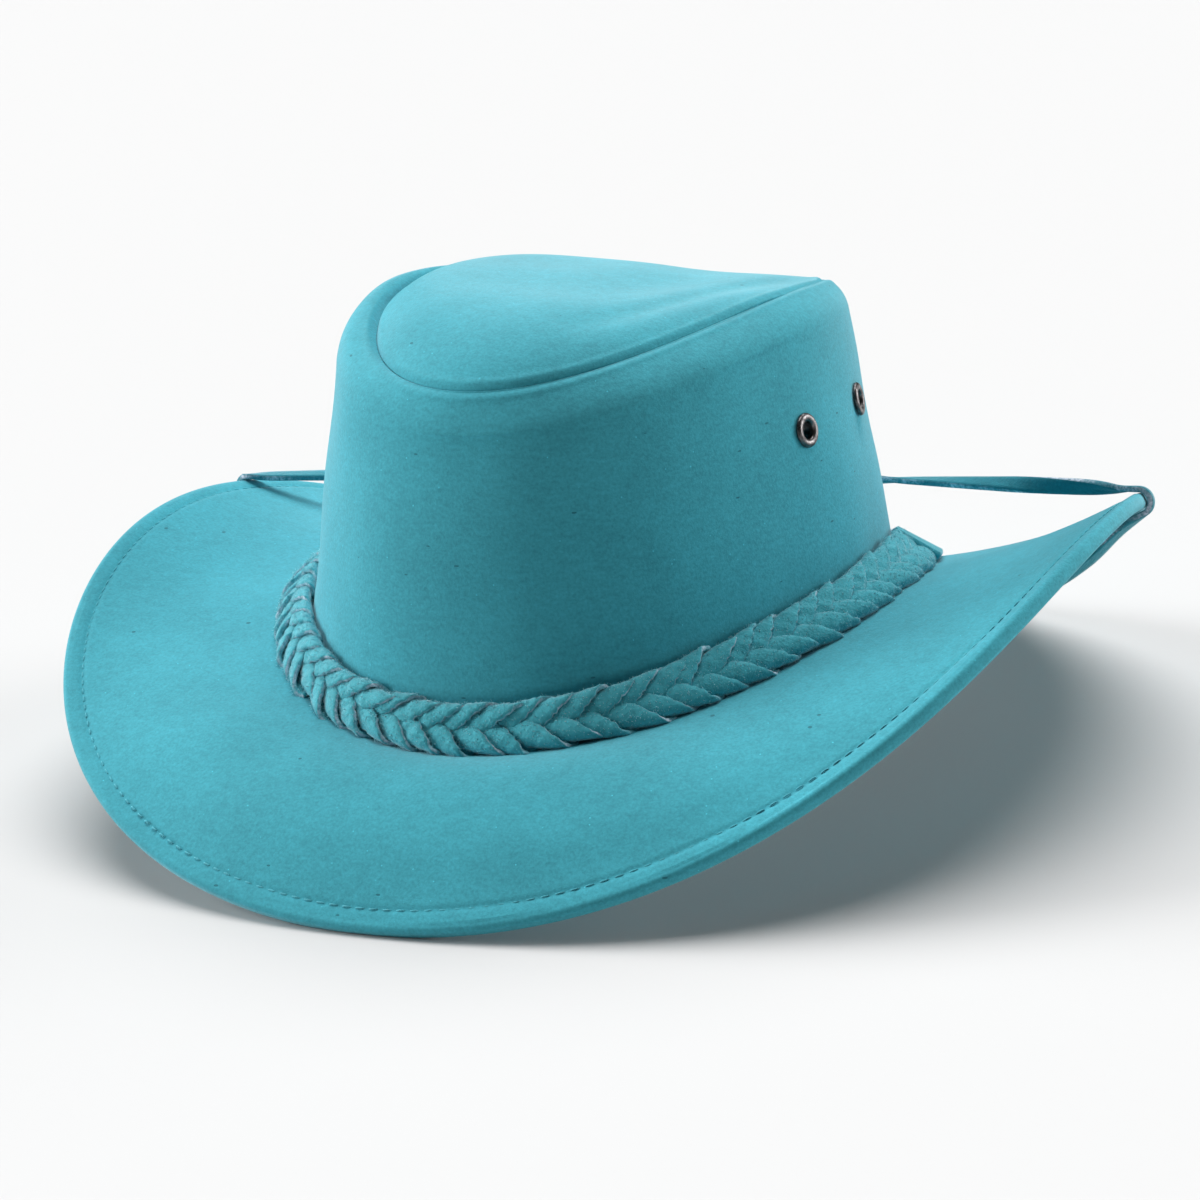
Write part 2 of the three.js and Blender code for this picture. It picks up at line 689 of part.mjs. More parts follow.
addPiece('brim', makeBrim(), BRIM_SUEDE);
addPiece('crown_wall', makeCrownWall(), CROWN_SUEDE);
addPiece('crown_tip', makeCrownTip(), CROWN_SUEDE);
addPiece('hat_band', makeHatBand(), PLAIT_SUEDE);
addPiece('band_tab', makeBandTab(), PLAIT_SUEDE);
for (const { name, matrix } of eyeletPlaces()) {
  addPiece(name, makeEyelet(), GUNMETAL).applyMatrix4(matrix);
}
addPiece('chin_strap', makeChinStrap(), LACE_LEATHER);

export default hat;
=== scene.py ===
# %% [markdown]
# # An outback hat in turquoise suede
#
# This notebook dresses a hat whose construction is already settled: a frame of plain solids holds the
# brim, crown, band, eyelets and strap at their real sizes. Each step here swaps one plain solid for a
# finely modelled piece, or gives it a finish. Lengths are in metres, +Z is up, the front of the hat
# looks along -Y, and angles run from the front towards +X.

# %% Load the frame
import json
import math
import random

import bpy
import numpy as np
from mathutils import Matrix, Vector, noise

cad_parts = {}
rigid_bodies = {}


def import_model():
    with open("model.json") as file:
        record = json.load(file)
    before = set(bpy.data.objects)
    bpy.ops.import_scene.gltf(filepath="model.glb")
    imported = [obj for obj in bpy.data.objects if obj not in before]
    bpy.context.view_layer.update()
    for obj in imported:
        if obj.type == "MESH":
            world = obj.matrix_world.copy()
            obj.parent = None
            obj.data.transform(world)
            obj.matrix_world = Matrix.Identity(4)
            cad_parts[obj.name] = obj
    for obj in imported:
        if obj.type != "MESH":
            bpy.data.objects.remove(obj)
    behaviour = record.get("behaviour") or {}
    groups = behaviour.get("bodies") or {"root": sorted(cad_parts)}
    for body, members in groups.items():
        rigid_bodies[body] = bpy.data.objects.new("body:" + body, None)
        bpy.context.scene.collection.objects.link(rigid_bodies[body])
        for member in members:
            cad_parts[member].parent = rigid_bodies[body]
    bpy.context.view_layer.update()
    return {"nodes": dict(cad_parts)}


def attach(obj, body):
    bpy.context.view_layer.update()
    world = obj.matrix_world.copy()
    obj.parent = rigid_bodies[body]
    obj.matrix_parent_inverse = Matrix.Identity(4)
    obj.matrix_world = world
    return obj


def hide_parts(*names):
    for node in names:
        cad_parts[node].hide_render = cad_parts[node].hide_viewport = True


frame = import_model()
scene = bpy.context.scene
print("pieces of the frame:", sorted(frame["nodes"]))

# %% [markdown]
# ## Camera
#
# The photograph was taken from the front left of the hat, a little above it, with a long lens, and the
# camera was held a few degrees off level. Its place was worked out from the brim's edge, so it is given
# here as a place, a turn and a focal length, with no lens shift.

# %% Camera
CAMERA_PLACE = (0.3880, -0.7744, 0.2948)
CAMERA_TURN = (73.811, 4.096, 25.628)
FOCAL_LENGTH = 88.15

camera_data = bpy.data.cameras.new("photo_camera")
camera_data.sensor_width = 36
camera_data.lens = FOCAL_LENGTH
camera_data.clip_end = 50
camera = bpy.data.objects.new("photo_camera", camera_data)
camera.location = CAMERA_PLACE
camera.rotation_euler = [math.radians(turn) for turn in CAMERA_TURN]
scene.collection.objects.link(camera)
scene.camera = camera
print("camera distance:", round(Vector(CAMERA_PLACE).length, 3), "m")

# %% [markdown]
# ## The shape of the hat
#
# A hat is sewn from a few panels, but each panel is close to a surface that a formula can describe: an
# oval that changes its height round the head. The same named sizes that shaped the frame are used
# again, so that the fine pieces lie exactly where the plain ones do. Every function takes whole arrays
# of angles and shares, because numpy then makes thousands of points in one step.

# %% Sizes, in metres
HEAD_LENGTH, HEAD_WIDTH = 0.203, 0.173
HEAD_HEIGHT, HEAD_SIDE_RISE, HEAD_BACK_DROP = 0.0306, 0.0225, 0.0015
HEAD_SHIFT_FRONT, HEAD_SHIFT_RIGHT = 0.003, 0.0008

BRIM_THICKNESS = 0.0024
BRIM_LENGTH, BRIM_WIDTH = 0.3304, 0.3172
BRIM_CORNER_FULLNESS, BRIM_CORNER_TURN = 0.027, 0.015
BRIM_SIDE_RISE, BRIM_CORNER_DIP, BRIM_CORNER_SKEW = 0.0725, 0.0043, 0.0067
BRIM_LEAN = 0.0049
BRIM_ARCH_FRONT, BRIM_ARCH_BACK, BRIM_DISH_SIDES = 0.012, -0.003, 0.004
BRIM_EASE_START, BRIM_EASE_FRONT, EASE_PEAK = 0.7, 0.0014, 4 / 27
BRIM_LIFT_FRONT, BRIM_LIFT_BACK, BRIM_LIFT_SIDES = 0.002, 0.0032, 0.0012
ROLL_DIAMETER, ROLL_LIP, ROLL_POWER = 0.0048, 0.00015, 0.7

WALL_THICKNESS = 0.002
SHOULDER = dict(length=0.185, width=0.1454, back_by=0.0054, front=0.0861, side=0.1002, back=0.0823)
RIM_LOFT = dict(front=0.003, right=0.0062, back=0.0083, left=0.019)
SEAM = dict(length=0.1695, width=0.1244, back_by=0.007, front=0.098, side=0.1094, back=0.0918)
SEAM_EGG = 0.0365

TIP_LEVEL, DOME_HEIGHT, DOME_EDGE_POWER = 0.1037, 0.0101, 5
DOME_FRONT_SHARE, DOME_LEFT_SHARE, DOME_SADDLE_SHARE = 0.41, 0.43, 0.17
TIP_DENT = dict(across=0.4, back=0, reach_across=0.26, reach_back=0.62, depth=0.0022)
GAP = 0.0003


# %% Surfaces of the hat
def around(angle, front, right, back, left):
    """A value given at the front, sides and back, running smoothly between them."""
    c, s = np.cos(angle), np.sin(angle)
    return c * c * np.where(c > 0, front, back) + s * s * np.where(s > 0, right, left)


def point(x, y, z):
    return np.stack(np.broadcast_arrays(x, y, z), axis=-1)


def oval(angle, ring, scale=1.0):
    level = around(angle, ring["front"], ring["side"], ring["back"], ring["side"])
    return point(
        HEAD_SHIFT_RIGHT + ring["width"] / 2 * np.sin(angle) * scale,
        ring["back_by"] - HEAD_SHIFT_FRONT - ring["length"] / 2 * np.cos(angle) * scale,
        HEAD_HEIGHT + level,
    )


def head_line(angle):
    rise = around(angle, 0, HEAD_SIDE_RISE, -HEAD_BACK_DROP, HEAD_SIDE_RISE)
    return point(
        HEAD_SHIFT_RIGHT + HEAD_WIDTH / 2 * np.sin(angle),
        -HEAD_LENGTH / 2 * np.cos(angle) - HEAD_SHIFT_FRONT,
        HEAD_HEIGHT + rise,
    )


def brim_edge(angle):
    c, s = np.cos(angle), np.sin(angle)
    corner = np.sin(2 * angle) ** 2
    full = 1 + BRIM_CORNER_FULLNESS * corner - BRIM_CORNER_TURN * np.sin(2 * angle)
    lift = around(angle, BRIM_LIFT_FRONT, BRIM_LIFT_SIDES, BRIM_LIFT_BACK, BRIM_LIFT_SIDES)
    rise = lift + BRIM_SIDE_RISE * s * s + BRIM_LEAN * s**3
    return point(
        BRIM_WIDTH / 2 * s * full,
        -BRIM_LENGTH / 2 * c * full,
        rise - BRIM_CORNER_DIP * corner - BRIM_CORNER_SKEW * s * s * c,
    )


def lerp(start, end, share):
    return start + (end - start) * np.asarray(share)[..., None]


def brim_top(angle, share):
    face = lerp(head_line(angle), brim_edge(angle), share)
    arch = around(angle, BRIM_ARCH_FRONT, -BRIM_DISH_SIDES, BRIM_ARCH_BACK, -BRIM_DISH_SIDES)
    face[..., 2] += 4 * share * (1 - share) * arch
    outer = np.maximum(0, (share - BRIM_EASE_START) / (1 - BRIM_EASE_START))
    face[..., 2] -= outer**2 * (1 - outer) * around(angle, BRIM_EASE_FRONT, 0, 0, 0) / EASE_PEAK
    return face


def wall_face(angle, share):
    return lerp(head_line(angle), oval(angle, SHOULDER), share)


def seam_line(angle):
    return oval(angle, SEAM, 1 + SEAM_EGG * np.cos(3 * angle))


def rim_face(angle, share):
    shoulder = oval(angle, SHOULDER)
    along = shoulder - head_line(angle)
    along /= np.linalg.norm(along, axis=-1, keepdims=True)
    loft = around(angle, RIM_LOFT["front"], RIM_LOFT["right"], RIM_LOFT["back"], RIM_LOFT["left"])
    corner = shoulder + along * loft[..., None]
    v = np.asarray(share)[..., None]
    return shoulder * (1 - v) ** 2 + corner * 2 * v * (1 - v) + seam_line(angle) * v**2


def tip_face(angle, share):
    face = oval(angle, SEAM, share * (1 + SEAM_EGG * np.cos(3 * angle) * share))
    across, back = np.sin(angle) * share, -np.cos(angle) * share
    swell = 1 - DOME_FRONT_SHARE * back - DOME_LEFT_SHARE * across
    swell += DOME_SADDLE_SHARE * (back**2 - across**2)
    a = (across - TIP_DENT["across"]) / TIP_DENT["reach_across"]
    b = (back - TIP_DENT["back"]) / TIP_DENT["reach_back"]
    dent = TIP_DENT["depth"] * np.exp(-a * a - b * b)
    level = HEAD_HEIGHT + TIP_LEVEL
    base = level + (face[..., 2] - level) * share**2
    face[..., 2] = base + (DOME_HEIGHT * swell - dent) * (1 - share**DOME_EDGE_POWER)
    return face


def face_normal(face, angle, share, sign=1):
    step = 0.002
    round_way = face(angle + step, share) - face(angle - step, share)
    along = face(angle, share + step) - face(angle, share - step)
    normal = np.cross(round_way, along)
    return sign * normal / np.linalg.norm(normal, axis=-1, keepdims=True)


def wall_normal(angle, share):
    return face_normal(wall_face, angle, share)


def rim_normal(angle, share):
    return face_normal(rim_face, angle, share)


def tip_normal(angle, share):
    return face_normal(tip_face, angle, share, -1)


def brim_normal(angle, share):
    return face_normal(brim_top, angle, share, -1)


def unit(vectors):
    return vectors / np.linalg.norm(vectors, axis=-1, keepdims=True)


side = brim_edge(np.array([0.0, math.pi / 2]))
print("brim edge at front and side:", side.round(3).tolist())

# %% [markdown]
# ## Suede
#
# Suede is leather with its fibres raised. It has no gloss: the nap scatters light, so that a face seen
# at a slant looks paler, and brushing leaves cloudy patches. The shader gives it a rough surface with a
# soft sheen, cloudy colour, fine grain, streaks where the nap was brushed sideways, rare dark and pale
# specks, and a bump of short fibres. A picture of leather could be wrapped round the hat instead, but
# noise needs no seams and never repeats. All patterns read the object's own coordinates, so they stay on
# the leather from every side.


# %% Patterns and nodes
# How fine each pattern is, as repeats to the metre.
CLOUD_SCALE, STREAK_SCALE, FIBRE_SCALE, BARE_PATCH_SCALE = 26, 600, 1100, 130
DARK_SPECK_SCALE, PALE_SPECK_SCALE = 150, 210
# The radius of a speck, as a share of its repeat.
SPECK_RADIUS = 0.05
# The nap is brushed sideways, so the streaks' coordinates are scaled by these factors: a smaller one
# makes longer streaks.
NAP_STRETCH = (0.45, 0.45, 1.2)
FIBRE_HEIGHT = 0.0004


def srgb(red, green, blue):
    """A colour read off a picture, 0 to 255, as the linear values that shaders use."""
    def linear(value):
        share = value / 255
        return share / 12.92 if share <= 0.04045 else ((share + 0.055) / 1.055) ** 2.4
    return (linear(red), linear(green), linear(blue), 1)


def scaled(colour, factor):
    return tuple(min(1, channel * factor) for channel in colour[:3]) + (1,)


def grey(value):
    return (value, value, value, 1)


def add_noise(nodes, links, vector, scale, detail=3, roughness=0.6):
    texture = nodes.new("ShaderNodeTexNoise")
    texture.inputs["Scale"].default_value = scale
    texture.inputs["Detail"].default_value = detail
    texture.inputs["Roughness"].default_value = roughness
    links.new(vector, texture.inputs["Vector"])
    return texture.outputs["Fac"]


def add_ramp(nodes, links, factor, stops):
    ramp = nodes.new("ShaderNodeValToRGB")
    elements = ramp.color_ramp.elements
    while len(elements) < len(stops):
        elements.new(0.5)
    for element, (position, colour) in zip(elements, stops):
        element.position = position
        element.color = colour
    links.new(factor, ramp.inputs["Fac"])
    return ramp.outputs["Color"]


def add_mix(nodes, links, factor, first, second, blend="MIX"):
    mix = nodes.new("ShaderNodeMix")
    mix.data_type = "RGBA"
    mix.blend_type = blend
    if isinstance(factor, float):
        mix.inputs[0].default_value = factor
    else:
        links.new(factor, mix.inputs[0])
    for socket, value in ((mix.inputs[6], first), (mix.inputs[7], second)):
        if isinstance(value, tuple):
            socket.default_value = value
        else:
            links.new(value, socket)
    return mix.outputs[2]


def add_specks(nodes, links, vector, scale):
    """Rare round dots: 1 inside a dot and 0 elsewhere."""
    cells = nodes.new("ShaderNodeTexVoronoi")
    cells.inputs["Scale"].default_value = scale
    links.new(vector, cells.inputs["Vector"])
    dots = nodes.new("ShaderNodeMath")
    dots.operation = "LESS_THAN"
    dots.inputs[1].default_value = SPECK_RADIUS
    links.new(cells.outputs["Distance"], dots.inputs[0])
    return dots.outputs["Value"]


# %% Colour of the nap
def nap_shade(nodes, links, where, grain, colour):
    """Cloudy colour with grain, streaks and specks."""
    clouds = add_noise(nodes, links, where, CLOUD_SCALE, 4)
    shade = add_ramp(nodes, links, clouds, [(0.3, scaled(colour, 0.9)), (0.7, scaled(colour, 1.08))])
    shade = add_mix(nodes, links, 1.0, shade, grain, "MULTIPLY")
    brushed = nodes.new("ShaderNodeMapping")
    brushed.inputs["Scale"].default_value = NAP_STRETCH
    links.new(where, brushed.inputs["Vector"])
    streaks = add_noise(nodes, links, brushed.outputs["Vector"], STREAK_SCALE, 2, 0.6)
    lines = add_ramp(nodes, links, streaks, [(0.32, grey(0.94)), (0.68, grey(1.06))])
    shade = add_mix(nodes, links, 1.0, shade, lines, "MULTIPLY")
    dark = add_specks(nodes, links, brushed.outputs["Vector"], DARK_SPECK_SCALE)
    shade = add_mix(nodes, links, dark, shade, scaled(colour, 0.5))
    pale = add_specks(nodes, links, where, PALE_SPECK_SCALE)
    return add_mix(nodes, links, pale, shade, scaled(colour, 1.5))


def bare_edges(nodes, links, where, fibres):
    """How much of the core shows: frayed patches where the "cut" attribute is 1."""
    cut = nodes.new("ShaderNodeAttribute")
    cut.attribute_name = "cut"
    frayed = add_ramp(nodes, links, fibres, [(0.36, grey(0.25)), (0.6, grey(0.9))])
    patches = add_noise(nodes, links, where, BARE_PATCH_SCALE, 2)
    patchy = add_ramp(nodes, links, patches, [(0.4, grey(0.15)), (0.6, grey(1))])
    bare = add_mix(nodes, links, 1.0, cut.outputs["Color"], frayed, "MULTIPLY")
    return add_mix(nodes, links, 1.0, bare, patchy, "MULTIPLY")


# %% Suede of one colour
def suede(name, colour, sheen=0.35, cut_edge=None, nap=0.35):
    """Suede of one colour. cut_edge is the colour of the core that shows on cut edges."""
    material = bpy.data.materials.new(name)
    material.use_nodes = True
    nodes, links = material.node_tree.nodes, material.node_tree.links
    shader = nodes["Principled BSDF"]
    where = nodes.new("ShaderNodeTexCoord").outputs["Object"]
    fibres = add_noise(nodes, links, where, FIBRE_SCALE, 3, 0.7)
    grain = add_ramp(nodes, links, fibres, [(0.3, grey(0.84)), (0.72, grey(1.13))])
    shade = nap_shade(nodes, links, where, grain, colour)
    if cut_edge:
        core = add_mix(nodes, links, 0.85, grain, cut_edge, "MULTIPLY")
        shade = add_mix(nodes, links, bare_edges(nodes, links, where, fibres), shade, core)
    links.new(shade, shader.inputs["Base Color"])
    shader.inputs["Roughness"].default_value = 0.92
    shader.inputs["Specular IOR Level"].default_value = 0.12
    shader.inputs["Sheen Weight"].default_value = sheen
    shader.inputs["Sheen Roughness"].default_value = 0.4
    shader.inputs["Sheen Tint"].default_value = (0.8, 0.95, 1, 1)
    bump = nodes.new("ShaderNodeBump")
    bump.inputs["Strength"].default_value = nap
    bump.inputs["Distance"].default_value = FIBRE_HEIGHT
    links.new(fibres, bump.inputs["Height"])
    links.new(bump.outputs["Normal"], shader.inputs["Normal"])
    return material


PALE_CORE = srgb(222, 222, 240)
TURQUOISE = srgb(68, 165, 181)
brim_suede = suede("brim_suede", TURQUOISE)
crown_suede = suede("crown_suede", TURQUOISE)
plait_suede = suede("plait_suede", srgb(76, 176, 190), sheen=0.7, cut_edge=PALE_CORE, nap=0.9)
lace_suede = suede("lace_suede", srgb(50, 140, 156), sheen=0.4, cut_edge=PALE_CORE, nap=0.6)
print("suedes:", brim_suede.name, crown_suede.name, plait_suede.name, lace_suede.name)

# %% [markdown]
# ## Fine sheets from rows of points
#
# A leather panel is a closed sheet: an outer face, an inner face and the cut edges between them. It
# could be a thin surface with a Solidify modifier, but its edges would then all be square. Rows of points
# round the hat make faces and edges at once, so one helper turns a block of rows into a mesh.


# %% Mesh helpers
def make_object(name, vertices, faces, material, smooth=True):
    mesh = bpy.data.meshes.new(name)
    mesh.from_pydata(np.asarray(vertices).reshape(-1, 3).tolist(), [], faces)
    mesh.update()
    mesh.polygons.foreach_set("use_smooth", [smooth] * len(mesh.polygons))
    mesh.materials.append(material)
    obj = bpy.data.objects.new(name, mesh)
    scene.collection.objects.link(obj)
    return obj


def ring_faces(rows, columns, closed_rows=True):
    """Quads between rows of points that each run once round the hat."""
    faces = []
    for i in range(rows if closed_rows else rows - 1):
        here, above = i * columns, ((i + 1) % rows) * columns
        for j in range(columns):
            k = (j + 1) % columns
            faces.append((here + j, here + k, above + k, above + j))
    return faces


def end_caps(rows, columns):
    """The two faces that close a bar made of rows of points."""
    return [tuple(range(columns - 1, -1, -1)), tuple(range((rows - 1) * columns, rows * columns))]


def outward(obj):
    """Turns a closed mesh's faces outwards if its volume comes out negative."""
    mesh = obj.data
    mesh.calc_loop_triangles()
    corners = np.array([v.co for v in mesh.vertices])
    a, b, c = (corners[[t.vertices[k] for t in mesh.loop_triangles]] for k in range(3))
    if np.einsum("ij,ij->i", a, np.cross(b, c)).sum() < 0:
        mesh.flip_normals()
    return obj


def soften(points, normals, depth, size, seed):
    """Moves points a little along their normals by slow noise, as worn leather lies."""
    offset = Vector((seed * 3.1, seed * 1.7, seed * 2.3))
    flat = points.reshape(-1, 3)
    waves = [noise.noise(Vector(p) / size + offset) for p in flat]
    return points + normals * (np.array(waves).reshape(points.shape[:-1]) * depth)[..., None]


def smooth_route(points, count):
    """A Catmull-Rom curve through the points, as evenly numbered samples."""
    padded = np.array([2 * points[0] - points[1], *points, 2 * points[-1] - points[-2]])
    samples = []
    for position in np.linspace(0, len(points) - 1, count):
        i = min(int(position), len(points) - 2)
        t = position - i
        a, b, c, d = padded[i:i + 4]
        samples.append(0.5 * (2 * b + (c - a) * t + (2 * a - 5 * b + 4 * c - d) * t**2
                              + (3 * b - a - 3 * c + d) * t**3))
    return np.array(samples)


def dress(obj, node):
    """The usual end of a piece: it rides on the hat, stands for its solid and prints its triangle count."""
    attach(obj, "root")
    if node:
        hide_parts(node)
    triangles = sum(len(polygon.vertices) - 2 for polygon in obj.data.polygons)
    print(f"{obj.name}: {triangles} triangles")
    return obj


ROUND = 480
round_angles = np.linspace(0, 2 * math.pi, ROUND, endpoint=False)

# %% [markdown]
# ## Brim
#
# Such a brim is suede folded over at its edge, often round a wire. The fold is thicker downwards, so the
# upper face runs out to it almost level, and a row of stitches inside it pulls a shallow groove into the
# leather. A Bevel modifier would round the edge on both sides alike, so the section is laid out here
# point by point: over the upper face, round the fold and back along the underside. Where the hat rests on
# its front and back edge, the fold is pressed flat.

# %% Hem of the brim
BRIM_REACH = BRIM_WIDTH / 2 - HEAD_WIDTH / 2
STITCH_INSET, HEM_INSET = 0.0060, 0.014
GROOVE_DEPTH, GROOVE_WIDTH = 0.0003, 0.0009
# A share of the upper face just inside its edge, where its slope at the edge is read.
NEAR_EDGE = 0.97


def near_edge(angle):
    """The point of the upper face just inside the edge."""
    return brim_top(angle, np.full(angle.shape, NEAR_EDGE))


def edge_normal(angle):
    return brim_normal(angle, np.full(angle.shape, NEAR_EDGE))


def roll_centre(angle):
    """Middle of the folded edge, low enough that the fold is almost level with the upper face."""
    edge = brim_edge(angle)
    inward = unit(near_edge(angle) - edge)
    down = -edge_normal(angle)
    return edge + inward * ROLL_DIAMETER / 2 + down * (ROLL_DIAMETER / 2 - ROLL_LIP)


def brim_share(angle, inset):
    """The share of the upper face that lies inset metres in from the edge."""
    reach = np.linalg.norm(brim_edge(angle) - near_edge(angle), axis=-1) / (1 - NEAR_EDGE)
    return 1 - inset / reach


def hem_profile(inset):
    """Height of the upper face near the edge: a groove at the stitches and a swell out to the fold."""
    groove = GROOVE_DEPTH * np.exp(-(((inset - STITCH_INSET) / GROOVE_WIDTH) ** 2))
    swell = np.clip((STITCH_INSET - inset) / (STITCH_INSET - ROLL_DIAMETER / 2), 0, 1)
    return ROLL_LIP * swell**2 * (3 - 2 * swell) - groove


# %% Upper face and underside of the brim
FACE_ROWS, HEM_ROWS, HEM_ROW_PITCH = 30, 32, 0.0004
# Slow waves of worn leather: their depth above and below, their length, and which waves they are.
BRIM_WAVE_TOP, BRIM_WAVE_UNDER, BRIM_WAVE_LENGTH, BRIM_WAVE_SEED = 0.0005, 0.0003, 0.035, 1
# The fold reaches back over this many rows of the underside.
ROWS_UNDER_FOLD = 6

inner_share = -WALL_THICKNESS / BRIM_REACH
hem_start = brim_share(round_angles, HEM_INSET)
hem_insets = np.linspace(HEM_INSET - HEM_ROW_PITCH, ROLL_DIAMETER / 2, HEM_ROWS)
share_grid = np.concatenate([
    np.full((1, ROUND), inner_share),
    hem_start * np.linspace(0, 1, FACE_ROWS)[:, None],
    [brim_share(round_angles, inset) for inset in hem_insets],
])
angle_grid = np.broadcast_to(round_angles, share_grid.shape)
inset_grid = np.concatenate([np.full(1 + FACE_ROWS, HEM_INSET), hem_insets])
top_normals = brim_normal(angle_grid, share_grid)
upper = brim_top(angle_grid, share_grid) + top_normals * hem_profile(inset_grid)[:, None, None]
upper = soften(upper, top_normals, BRIM_WAVE_TOP, BRIM_WAVE_LENGTH, BRIM_WAVE_SEED)
lower = brim_top(angle_grid, share_grid) - top_normals * BRIM_THICKNESS
lower = soften(lower, top_normals, BRIM_WAVE_UNDER, BRIM_WAVE_LENGTH, BRIM_WAVE_SEED)[:-ROWS_UNDER_FOLD]
print("rows of the brim:", len(upper), "above and", len(lower), "below")

# %% Folded edge
# The fold's section runs from above the edge round to below it, in degrees from level.
FOLD_ARC, FOLD_ROWS = (84, -125), 24

centre = roll_centre(round_angles)
edge_way = unit(brim_edge(round_angles + 0.01) - brim_edge(round_angles - 0.01))
outward_way = brim_edge(round_angles) - near_edge(round_angles)
outward_way = unit(outward_way - edge_way * (outward_way * edge_way).sum(-1, keepdims=True))
above_way = edge_normal(round_angles)


def squared(value):
    """A sine or cosine that squares the round section a little."""
    return math.copysign(abs(value) ** ROLL_POWER, value)


roll = [
    centre + (outward_way * squared(math.cos(turn)) + above_way * squared(math.sin(turn))) * ROLL_DIAMETER / 2
    for turn in np.radians(np.linspace(*FOLD_ARC, FOLD_ROWS))
]
brim_rows = np.concatenate([upper, np.array(roll), lower[::-1]])
brim_rows[..., 2] = np.maximum(brim_rows[..., 2], 0)
brim = make_object("brim_leather", brim_rows, ring_faces(len(brim_rows), ROUND), brim_suede)
dress(outward(brim), "brim")

# %% [markdown]
# ## Crown
#
# The crown's side is one band of suede that rises from the head oval, turns over a rounded shoulder and
# is sewn to the oval tip. Wall and shoulder are one sheet. The seam's thread pulls both panels into the
# crown, so their points near the seam are drawn into a soft groove with a low swell beside it.

# %% Seam of the crown
CROWN_ROUND = 360
SEAM_DEPTH, SEAM_SPREAD, SEAM_LIP = 0.0007, 0.0011, 0.0002
# How far from the seam the swell lies, in spreads of the groove.
LIP_PLACE = 2.4
# Shares of the shoulder and of the tip that lie just beside the seam, where their slopes are read.
RIM_BY_SEAM, TIP_BY_SEAM = 0.98, 0.97
crown_angles = np.linspace(0, 2 * math.pi, CROWN_ROUND, endpoint=False)


def seam_down(angle):
    """The way into the crown at the seam, halfway between the two panels."""
    rim = rim_normal(angle, np.full(angle.shape, RIM_BY_SEAM))
    tip = tip_normal(angle, np.full(angle.shape, TIP_BY_SEAM))
    return -unit(rim + tip)


def pull_to_seam(angle, points):
    """Draws points near the seam into the crown, so that the panels meet in a soft groove."""
    away = np.linalg.norm(points - seam_line(angle), axis=-1, keepdims=True)
    groove = SEAM_DEPTH * np.exp(-((away / SEAM_SPREAD) ** 2))
    lip = SEAM_LIP * np.exp(-(((away - LIP_PLACE * SEAM_SPREAD) / SEAM_SPREAD) ** 2))
    return points + seam_down(angle) * (groove - lip)


# %% Crown wall
WALL_ROWS, SHOULDER_ROWS = 34, 16
# The wall starts this far above the brim, outside and inside.
FOOT_LIFT, INNER_FOOT_LIFT = 0.00055, GAP + 0.0002
WALL_WAVE, RIM_WAVE, CROWN_WAVE_LENGTH, CROWN_WAVE_SEED = 0.0009, 0.0005, 0.03, 4

wall_foot = FOOT_LIFT / (SHOULDER["side"] - HEAD_SIDE_RISE)
wall_grid = np.meshgrid(crown_angles, np.linspace(wall_foot, 1, WALL_ROWS))
# The rows lie closer together near the seam, where the groove is.
rim_shares = np.concatenate([np.linspace(0, 0.76, SHOULDER_ROWS)[1:], np.linspace(0.79, 1, SHOULDER_ROWS)])
rim_grid = np.meshgrid(crown_angles, rim_shares)
plain_wall, wall_out = wall_face(*wall_grid), wall_normal(*wall_grid)
plain_rim, rim_out = rim_face(*rim_grid), rim_normal(*rim_grid)
soft_wall = soften(plain_wall, wall_out, WALL_WAVE, CROWN_WAVE_LENGTH, CROWN_WAVE_SEED)
soft_rim = soften(plain_rim, rim_out, RIM_WAVE, CROWN_WAVE_LENGTH, CROWN_WAVE_SEED)
soft_rim[-1] = seam_line(crown_angles)
outer_rows = np.concatenate([soft_wall, pull_to_seam(rim_grid[0], soft_rim)])
inner_wall = plain_wall - wall_out * WALL_THICKNESS
inner_rim = plain_rim - rim_out * WALL_THICKNESS
inner_wall[0] = brim_top(crown_angles, np.full(CROWN_ROUND, inner_share)) + np.array([0, 0, INNER_FOOT_LIFT])
inner_rim[-1] = seam_line(crown_angles) + seam_down(crown_angles) * WALL_THICKNESS
wall_rows = np.concatenate([outer_rows, inner_rim[::-1], inner_wall[::-1]])
crown_wall = make_object(
    "crown_wall_leather", wall_rows, ring_faces(len(wall_rows), CROWN_ROUND), crown_suede
)
outward(crown_wall)
print("rows of the crown wall:", len(wall_rows))

# %% [markdown]
# ## Air holes
#
# Two air holes on each side let the crown breathe. They are cut through the finished wall with a
# boolean, because a real punch makes them the same way, and the modifier is applied at once.

# %% Air holes
EYELET_HEIGHT_SHARE = 0.674
EYELET_ANGLES = {"front": 77.3, "back": 101.5}
EYELET_BARREL = 0.0064
PUNCH_SIDES, PUNCH_REACH = 32, 0.007


def eyelet_places():
    """Name, centre and outward direction of each eyelet."""
    places = []
    for side_name, sign in (("right", 1), ("left", -1)):
        for end_name, degrees in EYELET_ANGLES.items():
            angle = np.array(sign * math.radians(degrees))
            share = np.array(EYELET_HEIGHT_SHARE)
            centre_point = Vector(wall_face(angle, share))
            places.append((f"eyelet_{side_name}_{end_name}", centre_point, Vector(wall_normal(angle, share))))
    return places


